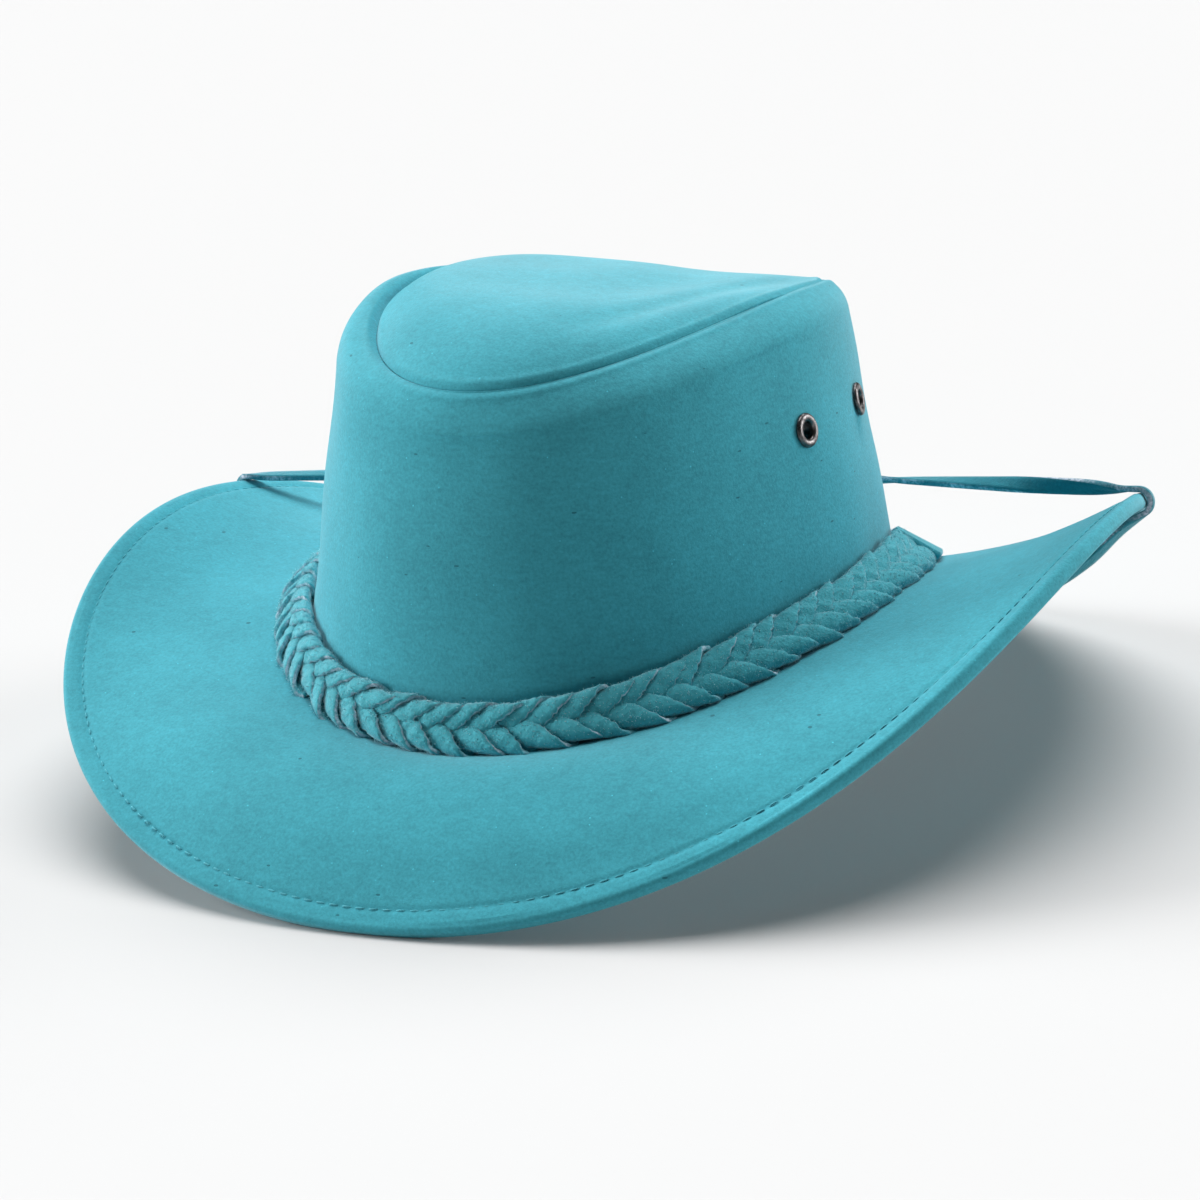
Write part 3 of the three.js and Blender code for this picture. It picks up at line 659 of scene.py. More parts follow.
def punch(obj, centre_point, direction, radius):
    """Cuts a round hole through obj with a short cylinder."""
    turn = direction.to_track_quat("Z", "Y").to_matrix().to_4x4()
    corners = [
        Matrix.Translation(centre_point) @ turn
        @ Vector((radius * math.cos(a), radius * math.sin(a), height))
        for height in (-PUNCH_REACH, PUNCH_REACH)
        for a in np.linspace(0, 2 * math.pi, PUNCH_SIDES, endpoint=False)
    ]
    faces = ring_faces(2, PUNCH_SIDES, closed_rows=False)
    faces += end_caps(2, PUNCH_SIDES)
    cutter = make_object("cutter", [list(corner) for corner in corners], faces, crown_suede)
    outward(cutter)
    boolean = obj.modifiers.new("air_hole", "BOOLEAN")
    boolean.object = cutter
    boolean.solver = "EXACT"
    apply_modifiers(obj)
    bpy.data.objects.remove(cutter, do_unlink=True)


def apply_modifiers(obj):
    """Keeps what the modifiers show as the object's own plain mesh."""
    graph = bpy.context.evaluated_depsgraph_get()
    mesh = bpy.data.meshes.new_from_object(obj.evaluated_get(graph), depsgraph=graph)
    obj.modifiers.clear()
    obj.data = mesh


for name, centre_point, direction in eyelet_places():
    punch(crown_wall, centre_point, direction, EYELET_BARREL / 2 + GAP)
dress(crown_wall, "crown_wall")

# %% [markdown]
# ## Crown tip
#
# The tip is a soft oval panel, pushed up into a low dome that is fullest at the front left and sinks to
# its seam. Beside the right part of the seam it is pinched into a long, shallow crease, whose few points
# are joined by a smooth curve. The panel is made as rings that shrink to the middle, with the same rings
# again below for the inside. Sculpting would do too, but rings keep the seam exact.

# %% Crease of the tip
# Points of the crease, as shares of the tip's half sizes to the right and to the back.
CREASE = [(0.30, -0.72), (0.52, -0.49), (0.72, -0.12), (0.86, 0.3), (0.84, 0.52)]
CREASE_DEPTH, CREASE_WIDTH, CREASE_SAMPLES = 0.0013, 0.0065, 60


def crease(angle, share):
    """Depth of the crease at points of the tip."""
    half = np.array([SEAM["width"], SEAM["length"]]) / 2
    spots = np.stack([np.sin(angle) * share, -np.cos(angle) * share], axis=-1) * half
    route = smooth_route(np.array(CREASE) * half, CREASE_SAMPLES)
    away = np.linalg.norm(spots[..., None, :] - route, axis=-1)
    nearest = away.argmin(axis=-1)
    fade = np.sin(math.pi * np.linspace(0, 1, CREASE_SAMPLES)) ** 0.7
    return CREASE_DEPTH * np.exp(-((away.min(axis=-1) / CREASE_WIDTH) ** 2)) * fade[nearest]


# %% Crown tip
TIP_THICKNESS, SEAM_SLIT = 0.002, 0.00008
TIP_WAVE, TIP_WAVE_LENGTH, TIP_WAVE_SEED = 0.0006, 0.028, 7

tip_edge = 1 - 2 * SEAM_SLIT / SEAM["width"]
# The rings lie closer together near the seam, and the middle is closed by a pole.
tip_shares = np.concatenate([np.linspace(0.03, 0.92, 44), np.linspace(0.93, tip_edge, 20)])
tip_grid = np.meshgrid(crown_angles, tip_shares[::-1])
plain_tip, tip_out = tip_face(*tip_grid), tip_normal(*tip_grid)
tip_top = soften(plain_tip, tip_out, TIP_WAVE, TIP_WAVE_LENGTH, TIP_WAVE_SEED)
tip_top -= tip_out * crease(*tip_grid)[..., None]
tip_top[0] = plain_tip[0]
tip_top = pull_to_seam(tip_grid[0], tip_top)
tip_under = plain_tip - tip_out * TIP_THICKNESS
tip_under[0] = plain_tip[0] + seam_down(crown_angles) * TIP_THICKNESS
tip_rows = np.concatenate([tip_top[::-1], tip_under])
tip_points = tip_rows.reshape(-1, 3).tolist()
middle_top = tip_top[-1].mean(axis=0)
middle_under = tip_under[-1].mean(axis=0)
tip_points += [middle_top.tolist(), middle_under.tolist()]
tip_faces = ring_faces(len(tip_rows), CROWN_ROUND, closed_rows=False)
last_row = (len(tip_rows) - 1) * CROWN_ROUND
top_pole, under_pole = len(tip_points) - 2, len(tip_points) - 1
for j in range(CROWN_ROUND):
    k = (j + 1) % CROWN_ROUND
    tip_faces.append((top_pole, k, j))
    tip_faces.append((under_pole, last_row + j, last_row + k))
crown_tip = make_object("crown_tip_leather", tip_points, tip_faces, crown_suede)
dress(outward(crown_tip), "crown_tip")

# %% [markdown]
# ## Copies by Geometry Nodes
#
# Stitches and the laces of the plait are one small piece repeated many times. A Geometry Nodes tree
# puts a copy on each point of a guide, turned and sized by values that the guide's points carry. An array
# modifier could repeat a piece too, but not with a turn and a size for each copy. The tree ends in
# Realize Instances and Set Material, and the result is then kept as a plain mesh.


# %% How a tree starts, ends and is used
def new_tree(name, inputs):
    tree = bpy.data.node_groups.new(name, "GeometryNodeTree")
    tree.interface.new_socket(name="Geometry", in_out="INPUT", socket_type="NodeSocketGeometry")
    for label, kind in inputs:
        tree.interface.new_socket(name=label, in_out="INPUT", socket_type=kind)
    tree.interface.new_socket(name="Geometry", in_out="OUTPUT", socket_type="NodeSocketGeometry")
    return tree, tree.nodes.new("NodeGroupInput"), tree.nodes.new("NodeGroupOutput")


def end_tree(tree, given, result, instances):
    """Turns the instances into real faces with the given finish."""
    realize = tree.nodes.new("GeometryNodeRealizeInstances")
    tree.links.new(instances, realize.inputs["Geometry"])
    finish = tree.nodes.new("GeometryNodeSetMaterial")
    tree.links.new(realize.outputs["Geometry"], finish.inputs["Geometry"])
    tree.links.new(given.outputs["Finish"], finish.inputs["Material"])
    tree.links.new(finish.outputs["Geometry"], result.inputs["Geometry"])


def grow(name, mesh, tree, values):
    """A new object: what the tree makes of a mesh, with the tree's inputs set by their labels."""
    obj = bpy.data.objects.new(name, mesh)
    scene.collection.objects.link(obj)
    modifier = obj.modifiers.new(tree.name, "NODES")
    modifier.node_group = tree
    sockets = {item.name: item.identifier for item in tree.interface.items_tree if item.in_out == "INPUT"}
    for label, value in values.items():
        modifier[sockets[label]] = value
    apply_modifiers(obj)
    obj.data.name = name
    return obj


# %% Tree that places copies
def named_value(tree, name, kind):
    node = tree.nodes.new("GeometryNodeInputNamedAttribute")
    node.data_type = kind
    node.inputs["Name"].default_value = name
    return node.outputs["Attribute"]


def copies_tree():
    tree, given, result = new_tree(
        "place_copies",
        [("Copy", "NodeSocketObject"), ("Size", "NodeSocketFloat"), ("Finish", "NodeSocketMaterial")],
    )
    links = tree.links
    copy = tree.nodes.new("GeometryNodeObjectInfo")
    links.new(given.outputs["Copy"], copy.inputs["Object"])
    place = tree.nodes.new("GeometryNodeInstanceOnPoints")
    links.new(given.outputs["Geometry"], place.inputs["Points"])
    links.new(copy.outputs["Geometry"], place.inputs["Instance"])
    turn = tree.nodes.new("FunctionNodeEulerToRotation")
    links.new(named_value(tree, "turn", "FLOAT_VECTOR"), turn.inputs["Euler"])
    links.new(turn.outputs["Rotation"], place.inputs["Rotation"])
    size = tree.nodes.new("ShaderNodeVectorMath")
    size.operation = "SCALE"
    links.new(named_value(tree, "size", "FLOAT_VECTOR"), size.inputs[0])
    links.new(given.outputs["Size"], size.inputs["Scale"])
    links.new(size.outputs["Vector"], place.inputs["Scale"])
    end_tree(tree, given, result, place.outputs["Instances"])
    return tree


COPIES = copies_tree()
print("tree:", COPIES.name, "with", len(COPIES.nodes), "nodes")


def place_copies(name, copy, places, turns, sizes, material):
    """One mesh with a copy at each place. turns are 3x3 matrices and sizes are three factors each."""
    mesh = bpy.data.meshes.new(name)
    mesh.from_pydata([list(place) for place in places], [], [])
    eulers = [value for turn in turns for value in Matrix(turn).to_euler()]
    mesh.attributes.new("turn", "FLOAT_VECTOR", "POINT").data.foreach_set("vector", eulers)
    mesh.attributes.new("size", "FLOAT_VECTOR", "POINT").data.foreach_set("vector", np.ravel(sizes))
    copies = grow(name, mesh, COPIES, {"Copy": copy, "Size": 1.0, "Finish": material})
    bpy.data.objects.remove(copy, do_unlink=True)
    return copies

# %% [markdown]
# ## Stitches of the brim
#
# The hem is held by a lockstitch in thread of the same colour. Above and below the brim it shows as
# dashes of about 3 mm that sink into the groove at both ends. Each dash is a short bead with blunt ends,
# copied at an even pitch measured along the real line, so that no stitch comes out longer than another.

# %% Stitches
STITCH_PITCH, STITCH_LENGTH, STITCH_RADIUS = 0.0040, 0.0031, 0.00024
STITCH_SIDES, STITCH_RINGS = 6, 5
# A stitch's middle stands this share of its radius above the leather.
STITCH_STAND = 0.6
thread = suede("stitch_thread", srgb(86, 176, 190), sheen=0.2, nap=0.2)


def bead(name, length, radius):
    """A small spindle along X that dips at both ends."""
    vertices = []
    for i in range(STITCH_RINGS):
        share = (i + 0.5) / STITCH_RINGS
        girth = radius * math.sin(math.pi * share) ** 0.4
        sink = -radius * (2 * share - 1) ** 2
        for j in range(STITCH_SIDES):
            turn = 2 * math.pi * j / STITCH_SIDES
            vertices.append(((share - 0.5) * length, girth * math.cos(turn), sink + girth * math.sin(turn)))
    faces = ring_faces(STITCH_RINGS, STITCH_SIDES, closed_rows=False)
    faces += end_caps(STITCH_RINGS, STITCH_SIDES)
    return outward(make_object(name, vertices, faces, thread))


# %% Rows of stitches
LINE_SAMPLES = 2001


def even_angles(line, pitch):
    """Angles that space points evenly along a closed line round the hat."""
    fine = np.linspace(0, 2 * math.pi, LINE_SAMPLES)
    lengths = np.linalg.norm(np.diff(line(fine), axis=0), axis=1)
    travelled = np.concatenate([[0], np.cumsum(lengths)])
    count = int(travelled[-1] / pitch)
    return np.interp(np.arange(count) * travelled[-1] / count, travelled, fine), travelled[-1]


def stitch_row(name, below):
    angles, length = even_angles(lambda a: brim_top(a, brim_share(a, STITCH_INSET)), STITCH_PITCH)
    shares_here = brim_share(angles, STITCH_INSET)
    normals = brim_normal(angles, shares_here)
    depth = BRIM_THICKNESS if below else GROOVE_DEPTH
    places = brim_top(angles, shares_here) - normals * depth
    along = unit(brim_top(angles + 0.002, shares_here) - brim_top(angles - 0.002, shares_here))
    up = -normals if below else normals
    places = places + up * STITCH_RADIUS * STITCH_STAND
    turns = np.stack([along, np.cross(up, along), up], axis=-1)
    sizes = np.ones((len(angles), 3))
    row = place_copies(name, bead("bead", STITCH_LENGTH, STITCH_RADIUS), places, turns, sizes, thread)
    print(f"{name}: {len(angles)} stitches on a line of {length:.2f} m")
    return dress(row, None)


stitch_row("brim_stitches", below=False)
stitch_row("brim_stitches_under", below=True)

# %% [markdown]
# ## Plaited band
#
# The band is a flat plait of suede laces. From outside one sees two rows of short lace stretches that
# meet in the middle like the barbs of a feather. Each one comes out from under the other row, rises,
# runs slanting to its edge of the band and folds over it, and each lies on top of the next one. So one
# bent lace stretch is modelled for each row and copied along the band, with small random changes. Whole
# laces woven by a formula would be truer inside, but what is hidden there never shows. A plain core
# behind the stretches closes the slits.

# %% Corner between crown and brim
# Width and thickness of the band, and how far it leans back from the wall, in degrees.
BAND_WIDTH, BAND_THICKNESS = 0.0145, 0.005
BAND_LEAN = dict(front=26, right=48, back=62, left=40)
BAND_START_ANGLE, BAND_END_ANGLE = math.radians(-139), math.radians(107)
# The share of the wall's height at which its slope beside the band is read.
WALL_BESIDE_BAND = 0.34


def corner_frame(angle, width, thickness, square=False):
    """Middle of a bar that leans on the crown above the brim, its way across and its way out."""
    foot = head_line(angle)
    lean = np.radians(around(angle, **BAND_LEAN))
    reach = width * np.sin(lean) / BRIM_REACH
    up_wall = unit(wall_face(angle, np.full(angle.shape, WALL_BESIDE_BAND)) - foot)
    out_brim = unit(brim_top(angle, reach) - foot)
    off_wall = unit(out_brim - up_wall * (out_brim * up_wall).sum(-1, keepdims=True))
    off_brim = unit(up_wall - out_brim * (out_brim * up_wall).sum(-1, keepdims=True))
    lean = lean[..., None]
    across = up_wall * np.cos(lean) - off_wall * np.sin(lean)
    out = up_wall * np.sin(lean) + off_wall * np.cos(lean)

    def clear(normal):
        wide = abs((across * normal).sum(-1, keepdims=True)) * width / 2
        thick = abs((out * normal).sum(-1, keepdims=True)) * thickness / 2
        return GAP + (wide + thick if square else np.hypot(wide, thick))

    middle = foot + out_brim * clear(off_wall) / (out_brim * off_wall).sum(-1, keepdims=True)
    middle += up_wall * clear(off_brim) / (up_wall * off_brim).sum(-1, keepdims=True)
    return middle, across, out


def band_middle(angle):
    return corner_frame(angle, BAND_WIDTH, BAND_THICKNESS)[0]


def bar_mesh(name, sections, material, cut):
    """A closed bar through sections of equally many points. cut is 1 at the points of cut edges."""
    rows, columns = len(sections), len(sections[0])
    points = np.asarray(sections).reshape(-1, 3)
    faces = ring_faces(rows, columns, closed_rows=False)
    faces += end_caps(rows, columns)
    obj = make_object(name, points, faces, material)
    obj.data.attributes.new("cut", "FLOAT", "POINT").data.foreach_set("value", np.tile(cut, rows))
    return outward(obj)


# %% Shape of one lace stretch
LACE_WIDTH, LACE_THICKNESS, LACE_DOME = 0.0066, 0.0014, 0.00055
LACE_PITCH = 0.0083
LACE_SLANT = math.radians(39)
LACE_LEAN = math.tan(math.radians(14))
# Where the lace starts to fold over the edge of the band, and the tightest fold that it makes.
FOLD_START, FOLD_RADIUS = BAND_WIDTH / 2 - 0.002, 0.0006
# Height of the lace's middle over the band's middle plane, by how far across the band it is, in mm.
LACE_RISE = [(-6, -1.0), (-3, -0.9), (-1.5, -0.35), (0, 0.35), (1.5, 0.95), (3, 1.2), (6, 1.15), (15, 1.1)]


def lace_section(across_points=7):
    """A flat section with unit half sizes: shares across, shares through, and 1 on the cut edges."""
    face = np.linspace(-0.93, 0.93, across_points)
    wide = np.concatenate([face, [1, 1], face[::-1], [-1, -1]])
    thick = np.concatenate([np.ones(across_points), [0.5, -0.5], -np.ones(across_points), [-0.5, 0.5]])
    cut = (abs(wide) > 0.99).astype(float)
    return wide, thick, cut


def lace_surface(along, aside, row, wobble):
    """Where a point of the flat lace lies once it is plaited in: along it, and aside from its middle."""
    u = along * math.cos(LACE_SLANT) + aside * math.sin(LACE_SLANT)
    v = along * math.sin(LACE_SLANT) - aside * math.cos(LACE_SLANT)
    reach, height = np.array(LACE_RISE).T / 1000
    lift = np.interp(v, reach, height)
    dome = LACE_DOME * (1 - (2 * aside / LACE_WIDTH) ** 2)
    lift = lift + aside * LACE_LEAN + dome + wobble
    radius = np.maximum(FOLD_RADIUS, lift)
    turn = np.clip((v - FOLD_START) / radius, 0, math.pi)
    beyond = np.maximum(0, v - FOLD_START - math.pi * radius)
    front = v < FOLD_START
    v_folded = np.where(front, v, FOLD_START + radius * np.sin(turn) - beyond)
    w_folded = np.where(front, lift, radius * np.cos(turn))
    return np.stack([u, row * v_folded, w_folded], axis=-1)


# %% One lace stretch
# Places along the lace and its width there, as a share: it narrows where it dives under the next one.
LACE_TAPER = [(-0.0055, 1), (0.008, 1), (0.014, 0.8), (0.0185, 0.7)]
LACE_SECTIONS = 27
# How unevenly the lace is cut, as a share of its width, and how much its middle ripples.
CUT_WANDER, RIPPLE = 0.09, 0.0001


def lace_stretch(name, row, seed):
    """A lace stretch of the upper row (row 1) or the lower row (row -1). X runs along the band."""
    rng = random.Random(seed)
    places, widths = np.array(LACE_TAPER).T
    along = np.linspace(places[0], places[-1], LACE_SECTIONS)
    wide, thick, cut = lace_section()
    girth = np.array([1 + rng.uniform(-CUT_WANDER, CUT_WANDER) for _ in along])
    girth *= np.interp(along, places, widths)
    ripple = np.array([rng.gauss(0, RIPPLE) for _ in along])[:, None]
    s, b = np.meshgrid(along, wide * LACE_WIDTH / 2, indexing="ij")
    b = b * girth[:, None]
    step = 0.0002
    spot = lace_surface(s, b, row, ripple)
    ahead = lace_surface(s + step, b, row, ripple) - lace_surface(s - step, b, row, ripple)
    aside = lace_surface(s, b + step, row, ripple) - lace_surface(s, b - step, row, ripple)
    normal = unit(np.cross(ahead, aside)) * -row
    sections = spot + normal * (thick * LACE_THICKNESS / 2)[None, :, None]
    return bar_mesh(name, sections, plait_suede, cut)


# %% Rows of the plait
LACE_KINDS = 3
# How much the copies differ: spreads of the turn in the band's plane and of the tilt, in radians, of the
# place along and out of the band, and of the three sizes, as shares.
SWING, TILT = 0.045, 0.02
SHIFT_ALONG, SHIFT_OUT = 0.0003, 0.00008
SIZE_SPREAD = (0.05, 0.02, 0.06)
# The plait's stretches start and end this far inside the band's ends, in radians.
ROW_INSET = 0.02
rng = random.Random(11)


def plait_row(name, row):
    angles, length = even_angles(band_middle, LACE_PITCH)
    angles = np.where(angles > math.pi, angles - 2 * math.pi, angles)
    inside = (angles > BAND_START_ANGLE + ROW_INSET) & (angles < BAND_END_ANGLE - ROW_INSET)
    angles = np.sort(angles[inside])
    if row < 0:
        angles = angles[:-1] + np.diff(angles) / 2
    middle, across, out = corner_frame(angles, BAND_WIDTH, BAND_THICKNESS)
    along = unit(band_middle(angles + 0.002) - band_middle(angles - 0.002))
    out = unit(out - along * (out * along).sum(-1, keepdims=True))
    across = np.cross(out, along)
    rows = []
    for kind in range(LACE_KINDS):
        places, turns, sizes = [], [], []
        for m, x, y, z in list(zip(middle, along, across, out))[kind::LACE_KINDS]:
            swing = Matrix.Rotation(rng.gauss(0, SWING), 3, "Z")
            swing = swing @ Matrix.Rotation(rng.gauss(0, TILT), 3, "Y")
            places.append(m + x * rng.gauss(0, SHIFT_ALONG) + z * rng.gauss(0, SHIFT_OUT))
            turns.append(np.array(Matrix(np.stack([x, y, z], axis=-1).tolist()) @ swing))
            sizes.append([1 + rng.gauss(0, spread) for spread in SIZE_SPREAD])
        stretch = lace_stretch("stretch", row, 10 * kind + row)
        rows.append(place_copies(f"{name}_{kind}", stretch, places, turns, sizes, plait_suede))
    share = (BAND_END_ANGLE - BAND_START_ANGLE) / math.tau
    print(f"{name}: {len(angles)} stretches on {length * share:.2f} m")
    return rows


# %% Core and whole plait
CORE_SECTIONS, CORE_SIDES = 140, 12
# Half sizes of the core across and through the band, and how far it lies behind the band's middle, as
# shares of the band's width and thickness.
CORE_HALF_WIDTH, CORE_HALF_THICKNESS, CORE_BACK = 0.4, 0.3, 0.12


def plait_core():
    angles = np.linspace(BAND_START_ANGLE, BAND_END_ANGLE, CORE_SECTIONS)
    middle, across, out = corner_frame(angles, BAND_WIDTH, BAND_THICKNESS)
    turns = np.linspace(0, 2 * math.pi, CORE_SIDES, endpoint=False)
    sections = [
        [m + a * math.cos(t) * BAND_WIDTH * CORE_HALF_WIDTH
         + o * (math.sin(t) * CORE_HALF_THICKNESS - CORE_BACK) * BAND_THICKNESS
         for t in turns]
        for m, a, o in zip(middle, across, out)
    ]
    return bar_mesh("plait_core", sections, plait_suede, np.zeros(CORE_SIDES))


def join(objects, name):
    """Joins meshes into the first one, keeping their attributes."""
    for obj in scene.objects:
        obj.select_set(False)
    for obj in objects:
        obj.select_set(True)
    bpy.context.view_layer.objects.active = objects[0]
    bpy.ops.object.join()
    objects[0].name = name
    objects[0].data.name = name
    return objects[0]


plait = join(plait_row("upper", 1) + plait_row("lower", -1) + [plait_core()], "plaited_band")
dress(plait, "hat_band")

# %% [markdown]
# ## Frayed nap of the plait
#
# The laces are cut from split leather, whose loose fibres stand off both faces and make the outline of
# the plait look furry. A second Geometry Nodes tree scatters short spikes over the laces, each one
# standing on the surface and bent over by a random angle. Hair particles would do the same in a render,
# but spikes are real faces, which every program can read.


# %% Fuzz
FUZZ_LENGTH, FUZZ_GIRTH, FUZZ_PER_AREA = 0.0009, 0.00010, 0.85e6
# How far a fibre may bend to each side and spin, in radians, and its smallest and largest size.
FUZZ_BEND, FUZZ_SPIN, FUZZ_SIZES = 0.9, 3, (0.4, 1.3)
# The fibres are paler than the laces: painted highlight for the light that loose fibres catch.
fibres_painted_highlight = suede("fibres_painted_highlight", srgb(118, 204, 216), sheen=0.8, nap=0)


def fuzz_tree():
    tree, given, result = new_tree(
        "scatter_fibres",
        [("Fibre", "NodeSocketObject"), ("Density", "NodeSocketFloat"), ("Seed", "NodeSocketInt"),
         ("Finish", "NodeSocketMaterial")],
    )
    links = tree.links
    scatter = tree.nodes.new("GeometryNodeDistributePointsOnFaces")
    links.new(given.outputs["Geometry"], scatter.inputs["Mesh"])
    links.new(given.outputs["Density"], scatter.inputs["Density"])
    links.new(given.outputs["Seed"], scatter.inputs["Seed"])
    fibre = tree.nodes.new("GeometryNodeObjectInfo")
    links.new(given.outputs["Fibre"], fibre.inputs["Object"])
    bent = tree.nodes.new("FunctionNodeRandomValue")
    bent.data_type = "FLOAT_VECTOR"
    bent.inputs["Min"].default_value = (-FUZZ_BEND, -FUZZ_BEND, -FUZZ_SPIN)
    bent.inputs["Max"].default_value = (FUZZ_BEND, FUZZ_BEND, FUZZ_SPIN)
    links.new(given.outputs["Seed"], bent.inputs["Seed"])
    turn = tree.nodes.new("FunctionNodeRotateRotation")
    turn.rotation_space = "LOCAL"
    links.new(scatter.outputs["Rotation"], turn.inputs["Rotation"])
    links.new(bent.outputs["Value"], turn.inputs["Rotate By"])
    size = tree.nodes.new("FunctionNodeRandomValue")
    size.inputs[2].default_value, size.inputs[3].default_value = FUZZ_SIZES
    place = tree.nodes.new("GeometryNodeInstanceOnPoints")
    links.new(scatter.outputs["Points"], place.inputs["Points"])
    links.new(fibre.outputs["Geometry"], place.inputs["Instance"])
    links.new(turn.outputs["Rotation"], place.inputs["Rotation"])
    links.new(size.outputs[1], place.inputs["Scale"])
    end_tree(tree, given, result, place.outputs["Instances"])
    return tree


def fuzz(base, name, seed):
    """Short fibres all over one piece, as a mesh of their own."""
    corners = [(FUZZ_GIRTH * math.cos(t), FUZZ_GIRTH * math.sin(t), 0) for t in (0, 2.1, 4.2)]
    faces = [(2, 1, 0), (0, 1, 3), (1, 2, 3), (2, 0, 3)]
    spike = outward(make_object("spike", corners + [(0, 0, FUZZ_LENGTH)], faces, plait_suede))
    values = {"Fibre": spike, "Density": FUZZ_PER_AREA, "Seed": seed, "Finish": fibres_painted_highlight}
    coat = grow(name, base.data.copy(), fuzz_tree(), values)
    bpy.data.objects.remove(spike, do_unlink=True)
    return coat


dress(fuzz(plait, "plait_nap", 5), None)

# %% [markdown]
# ## Tab
#
# Behind the crown the plait's ends are held by a flat tab of thick suede. It is a plain strip with
# slightly rounded faces and pale cut edges, so one lofted bar is enough.

# %% Tab
TAB_WIDTH, TAB_THICKNESS, TAB_SECTIONS = 0.0165, 0.0026, 110


def make_tab():
    space = 2 * GAP / HEAD_WIDTH
    angles = np.linspace(BAND_END_ANGLE + space, 2 * math.pi + BAND_START_ANGLE - space, TAB_SECTIONS)
    middle, across, out = corner_frame(angles, TAB_WIDTH, TAB_THICKNESS, square=True)
    wide, thick, cut = lace_section(9)
    sections = [
        [m + a * w * TAB_WIDTH / 2 + o * t * TAB_THICKNESS / 2 for w, t in zip(wide, thick)]
        for m, a, o in zip(middle, across, out)
    ]
    return bar_mesh("band_tab_leather", sections, plait_suede, cut)


dress(make_tab(), "band_tab")

# %% [markdown]
# ## Eyelets
#
# Each air hole is lined with a turned metal eyelet: a barrel, a rounded flange outside and a flat one
# inside. A profile spun round an axis is how the real one is formed, so a fine profile is spun here too.
# The metal is dark with brighter patches where it is worn, and the bright patches are also the glossy
# ones, so one noise drives both.


# %% Gunmetal
TARNISH_SCALE = 700


def gunmetal():
    material = bpy.data.materials.new("gunmetal")
    material.use_nodes = True
    nodes, links = material.node_tree.nodes, material.node_tree.links
    shader = nodes["Principled BSDF"]
    where = nodes.new("ShaderNodeTexCoord").outputs["Object"]
    clouds = add_noise(nodes, links, where, TARNISH_SCALE, 4)
    tarnish = add_ramp(nodes, links, clouds, [(0.35, srgb(68, 65, 66)), (0.7, srgb(128, 124, 124))])
    links.new(tarnish, shader.inputs["Base Color"])
    rough = add_ramp(nodes, links, clouds, [(0.3, grey(0.5)), (0.7, grey(0.24))])
    links.new(rough, shader.inputs["Roughness"])
    shader.inputs["Metallic"].default_value = 1
    return material


# %% Eyelets
EYELET_FLANGE, EYELET_HOLE, EYELET_RIM_HEIGHT = 0.010, 0.005, 0.0011
# The outer flange's section is part of an arch: where it starts and ends, in radians, and its points.
ARCH_START, ARCH_END, ARCH_POINTS = 0.02, math.pi - 0.25, 14
# The flange inside the crown is this much smaller round its edge and wider at its hole.
INNER_FLANGE_LESS, INNER_HOLE_MORE = 0.0008, 0.0004
EYELET_SIDES = 48
metal = gunmetal()


def eyelet_profile():
    """Radius and height of the section, once round it."""
    hole, flange, rim = EYELET_HOLE / 2, EYELET_FLANGE / 2, EYELET_RIM_HEIGHT
    barrel = EYELET_BARREL / 2
    under = -WALL_THICKNESS - GAP
    dome = [
        (hole + (flange - hole) * (0.5 + 0.5 * math.cos(turn)), GAP + rim * math.sin(turn) ** 0.8)
        for turn in np.linspace(ARCH_START, ARCH_END, ARCH_POINTS)
    ]
    edge = flange - INNER_FLANGE_LESS
    inner = [(hole + INNER_HOLE_MORE, under - rim / 2), (edge, under - rim / 2), (edge, under)]
    return [(barrel, GAP)] + dome + [(hole, -0.0004), (hole, under)] + inner + [(barrel, under)]


def spin_profile(name, profile, centre_point, direction, material):
    turn = direction.to_track_quat("Z", "Y").to_matrix()
    points = [
        list(centre_point + turn @ Vector((radius * math.cos(a), radius * math.sin(a), height)))
        for radius, height in profile
        for a in np.linspace(0, 2 * math.pi, EYELET_SIDES, endpoint=False)
    ]
    return outward(make_object(name, points, ring_faces(len(profile), EYELET_SIDES), material))


for name, centre_point, direction in eyelet_places():
    ring = spin_profile(f"{name}_metal", eyelet_profile(), centre_point, direction, metal)
    dress(ring, name)

# %% [markdown]
# ## Chin strap
#
# The strap is one flat suede lace. Each end is sewn inside the crown, from where it runs under the
# brim, hangs a little slack, bends over the rolled edge and goes straight to the crown's back, turning
# over on its way. It is held by the hat all along, so it is lofted on that route and isn't a free cord.

# %% Strap route
STRAP_WIDTH, STRAP_THICKNESS = 0.005, 0.0018
STRAP_EDGE_ANGLE, STRAP_ANCHOR_ANGLE = math.radians(104), math.radians(88)
STRAP_ANCHOR_LENGTH, STRAP_CORNER_EASE = 0.016, 0.0012
STRAP_BACK_HEIGHT = 0.0299
STRAP_SLACK_DEPTH = 0.011
# Under the brim: share of the way in from the edge, share of the slack depth, and the lace's lean.
STRAP_SLACK = [
    (0.08, 0.4, 30), (0.2, 0.8, 43), (0.36, 1, 45), (0.55, 0.8, 32), (0.75, 0.42, 14), (0.92, 0.14, 0),
]
# Round the brim's edge: the lace bends from below it to above it, in degrees from level.
STRAP_BEND, STRAP_BEND_POINTS = (-60, 95), 7
# Above the brim: share of the way from the edge to the crown's back, and how far the lace has turned.
STRAP_TWIST_RIGHT = [
    (0.03, -14), (0.07, -36), (0.12, -60), (0.18, -78), (0.25, -96), (0.32, -124),
    (0.4, -150), (0.55, -172), (0.68, -188), (0.78, -212), (0.88, -242), (0.95, -262),
]
STRAP_TWIST_LEFT = [
    (0.05, 4), (0.13, 9), (0.25, 18), (0.4, 32), (0.55, 48), (0.7, 64), (0.84, 78), (0.94, 86),
]


def one(face, angle, share):
    """A surface function for a single angle and share."""
    return face(np.array(angle, float), np.array(share, float))


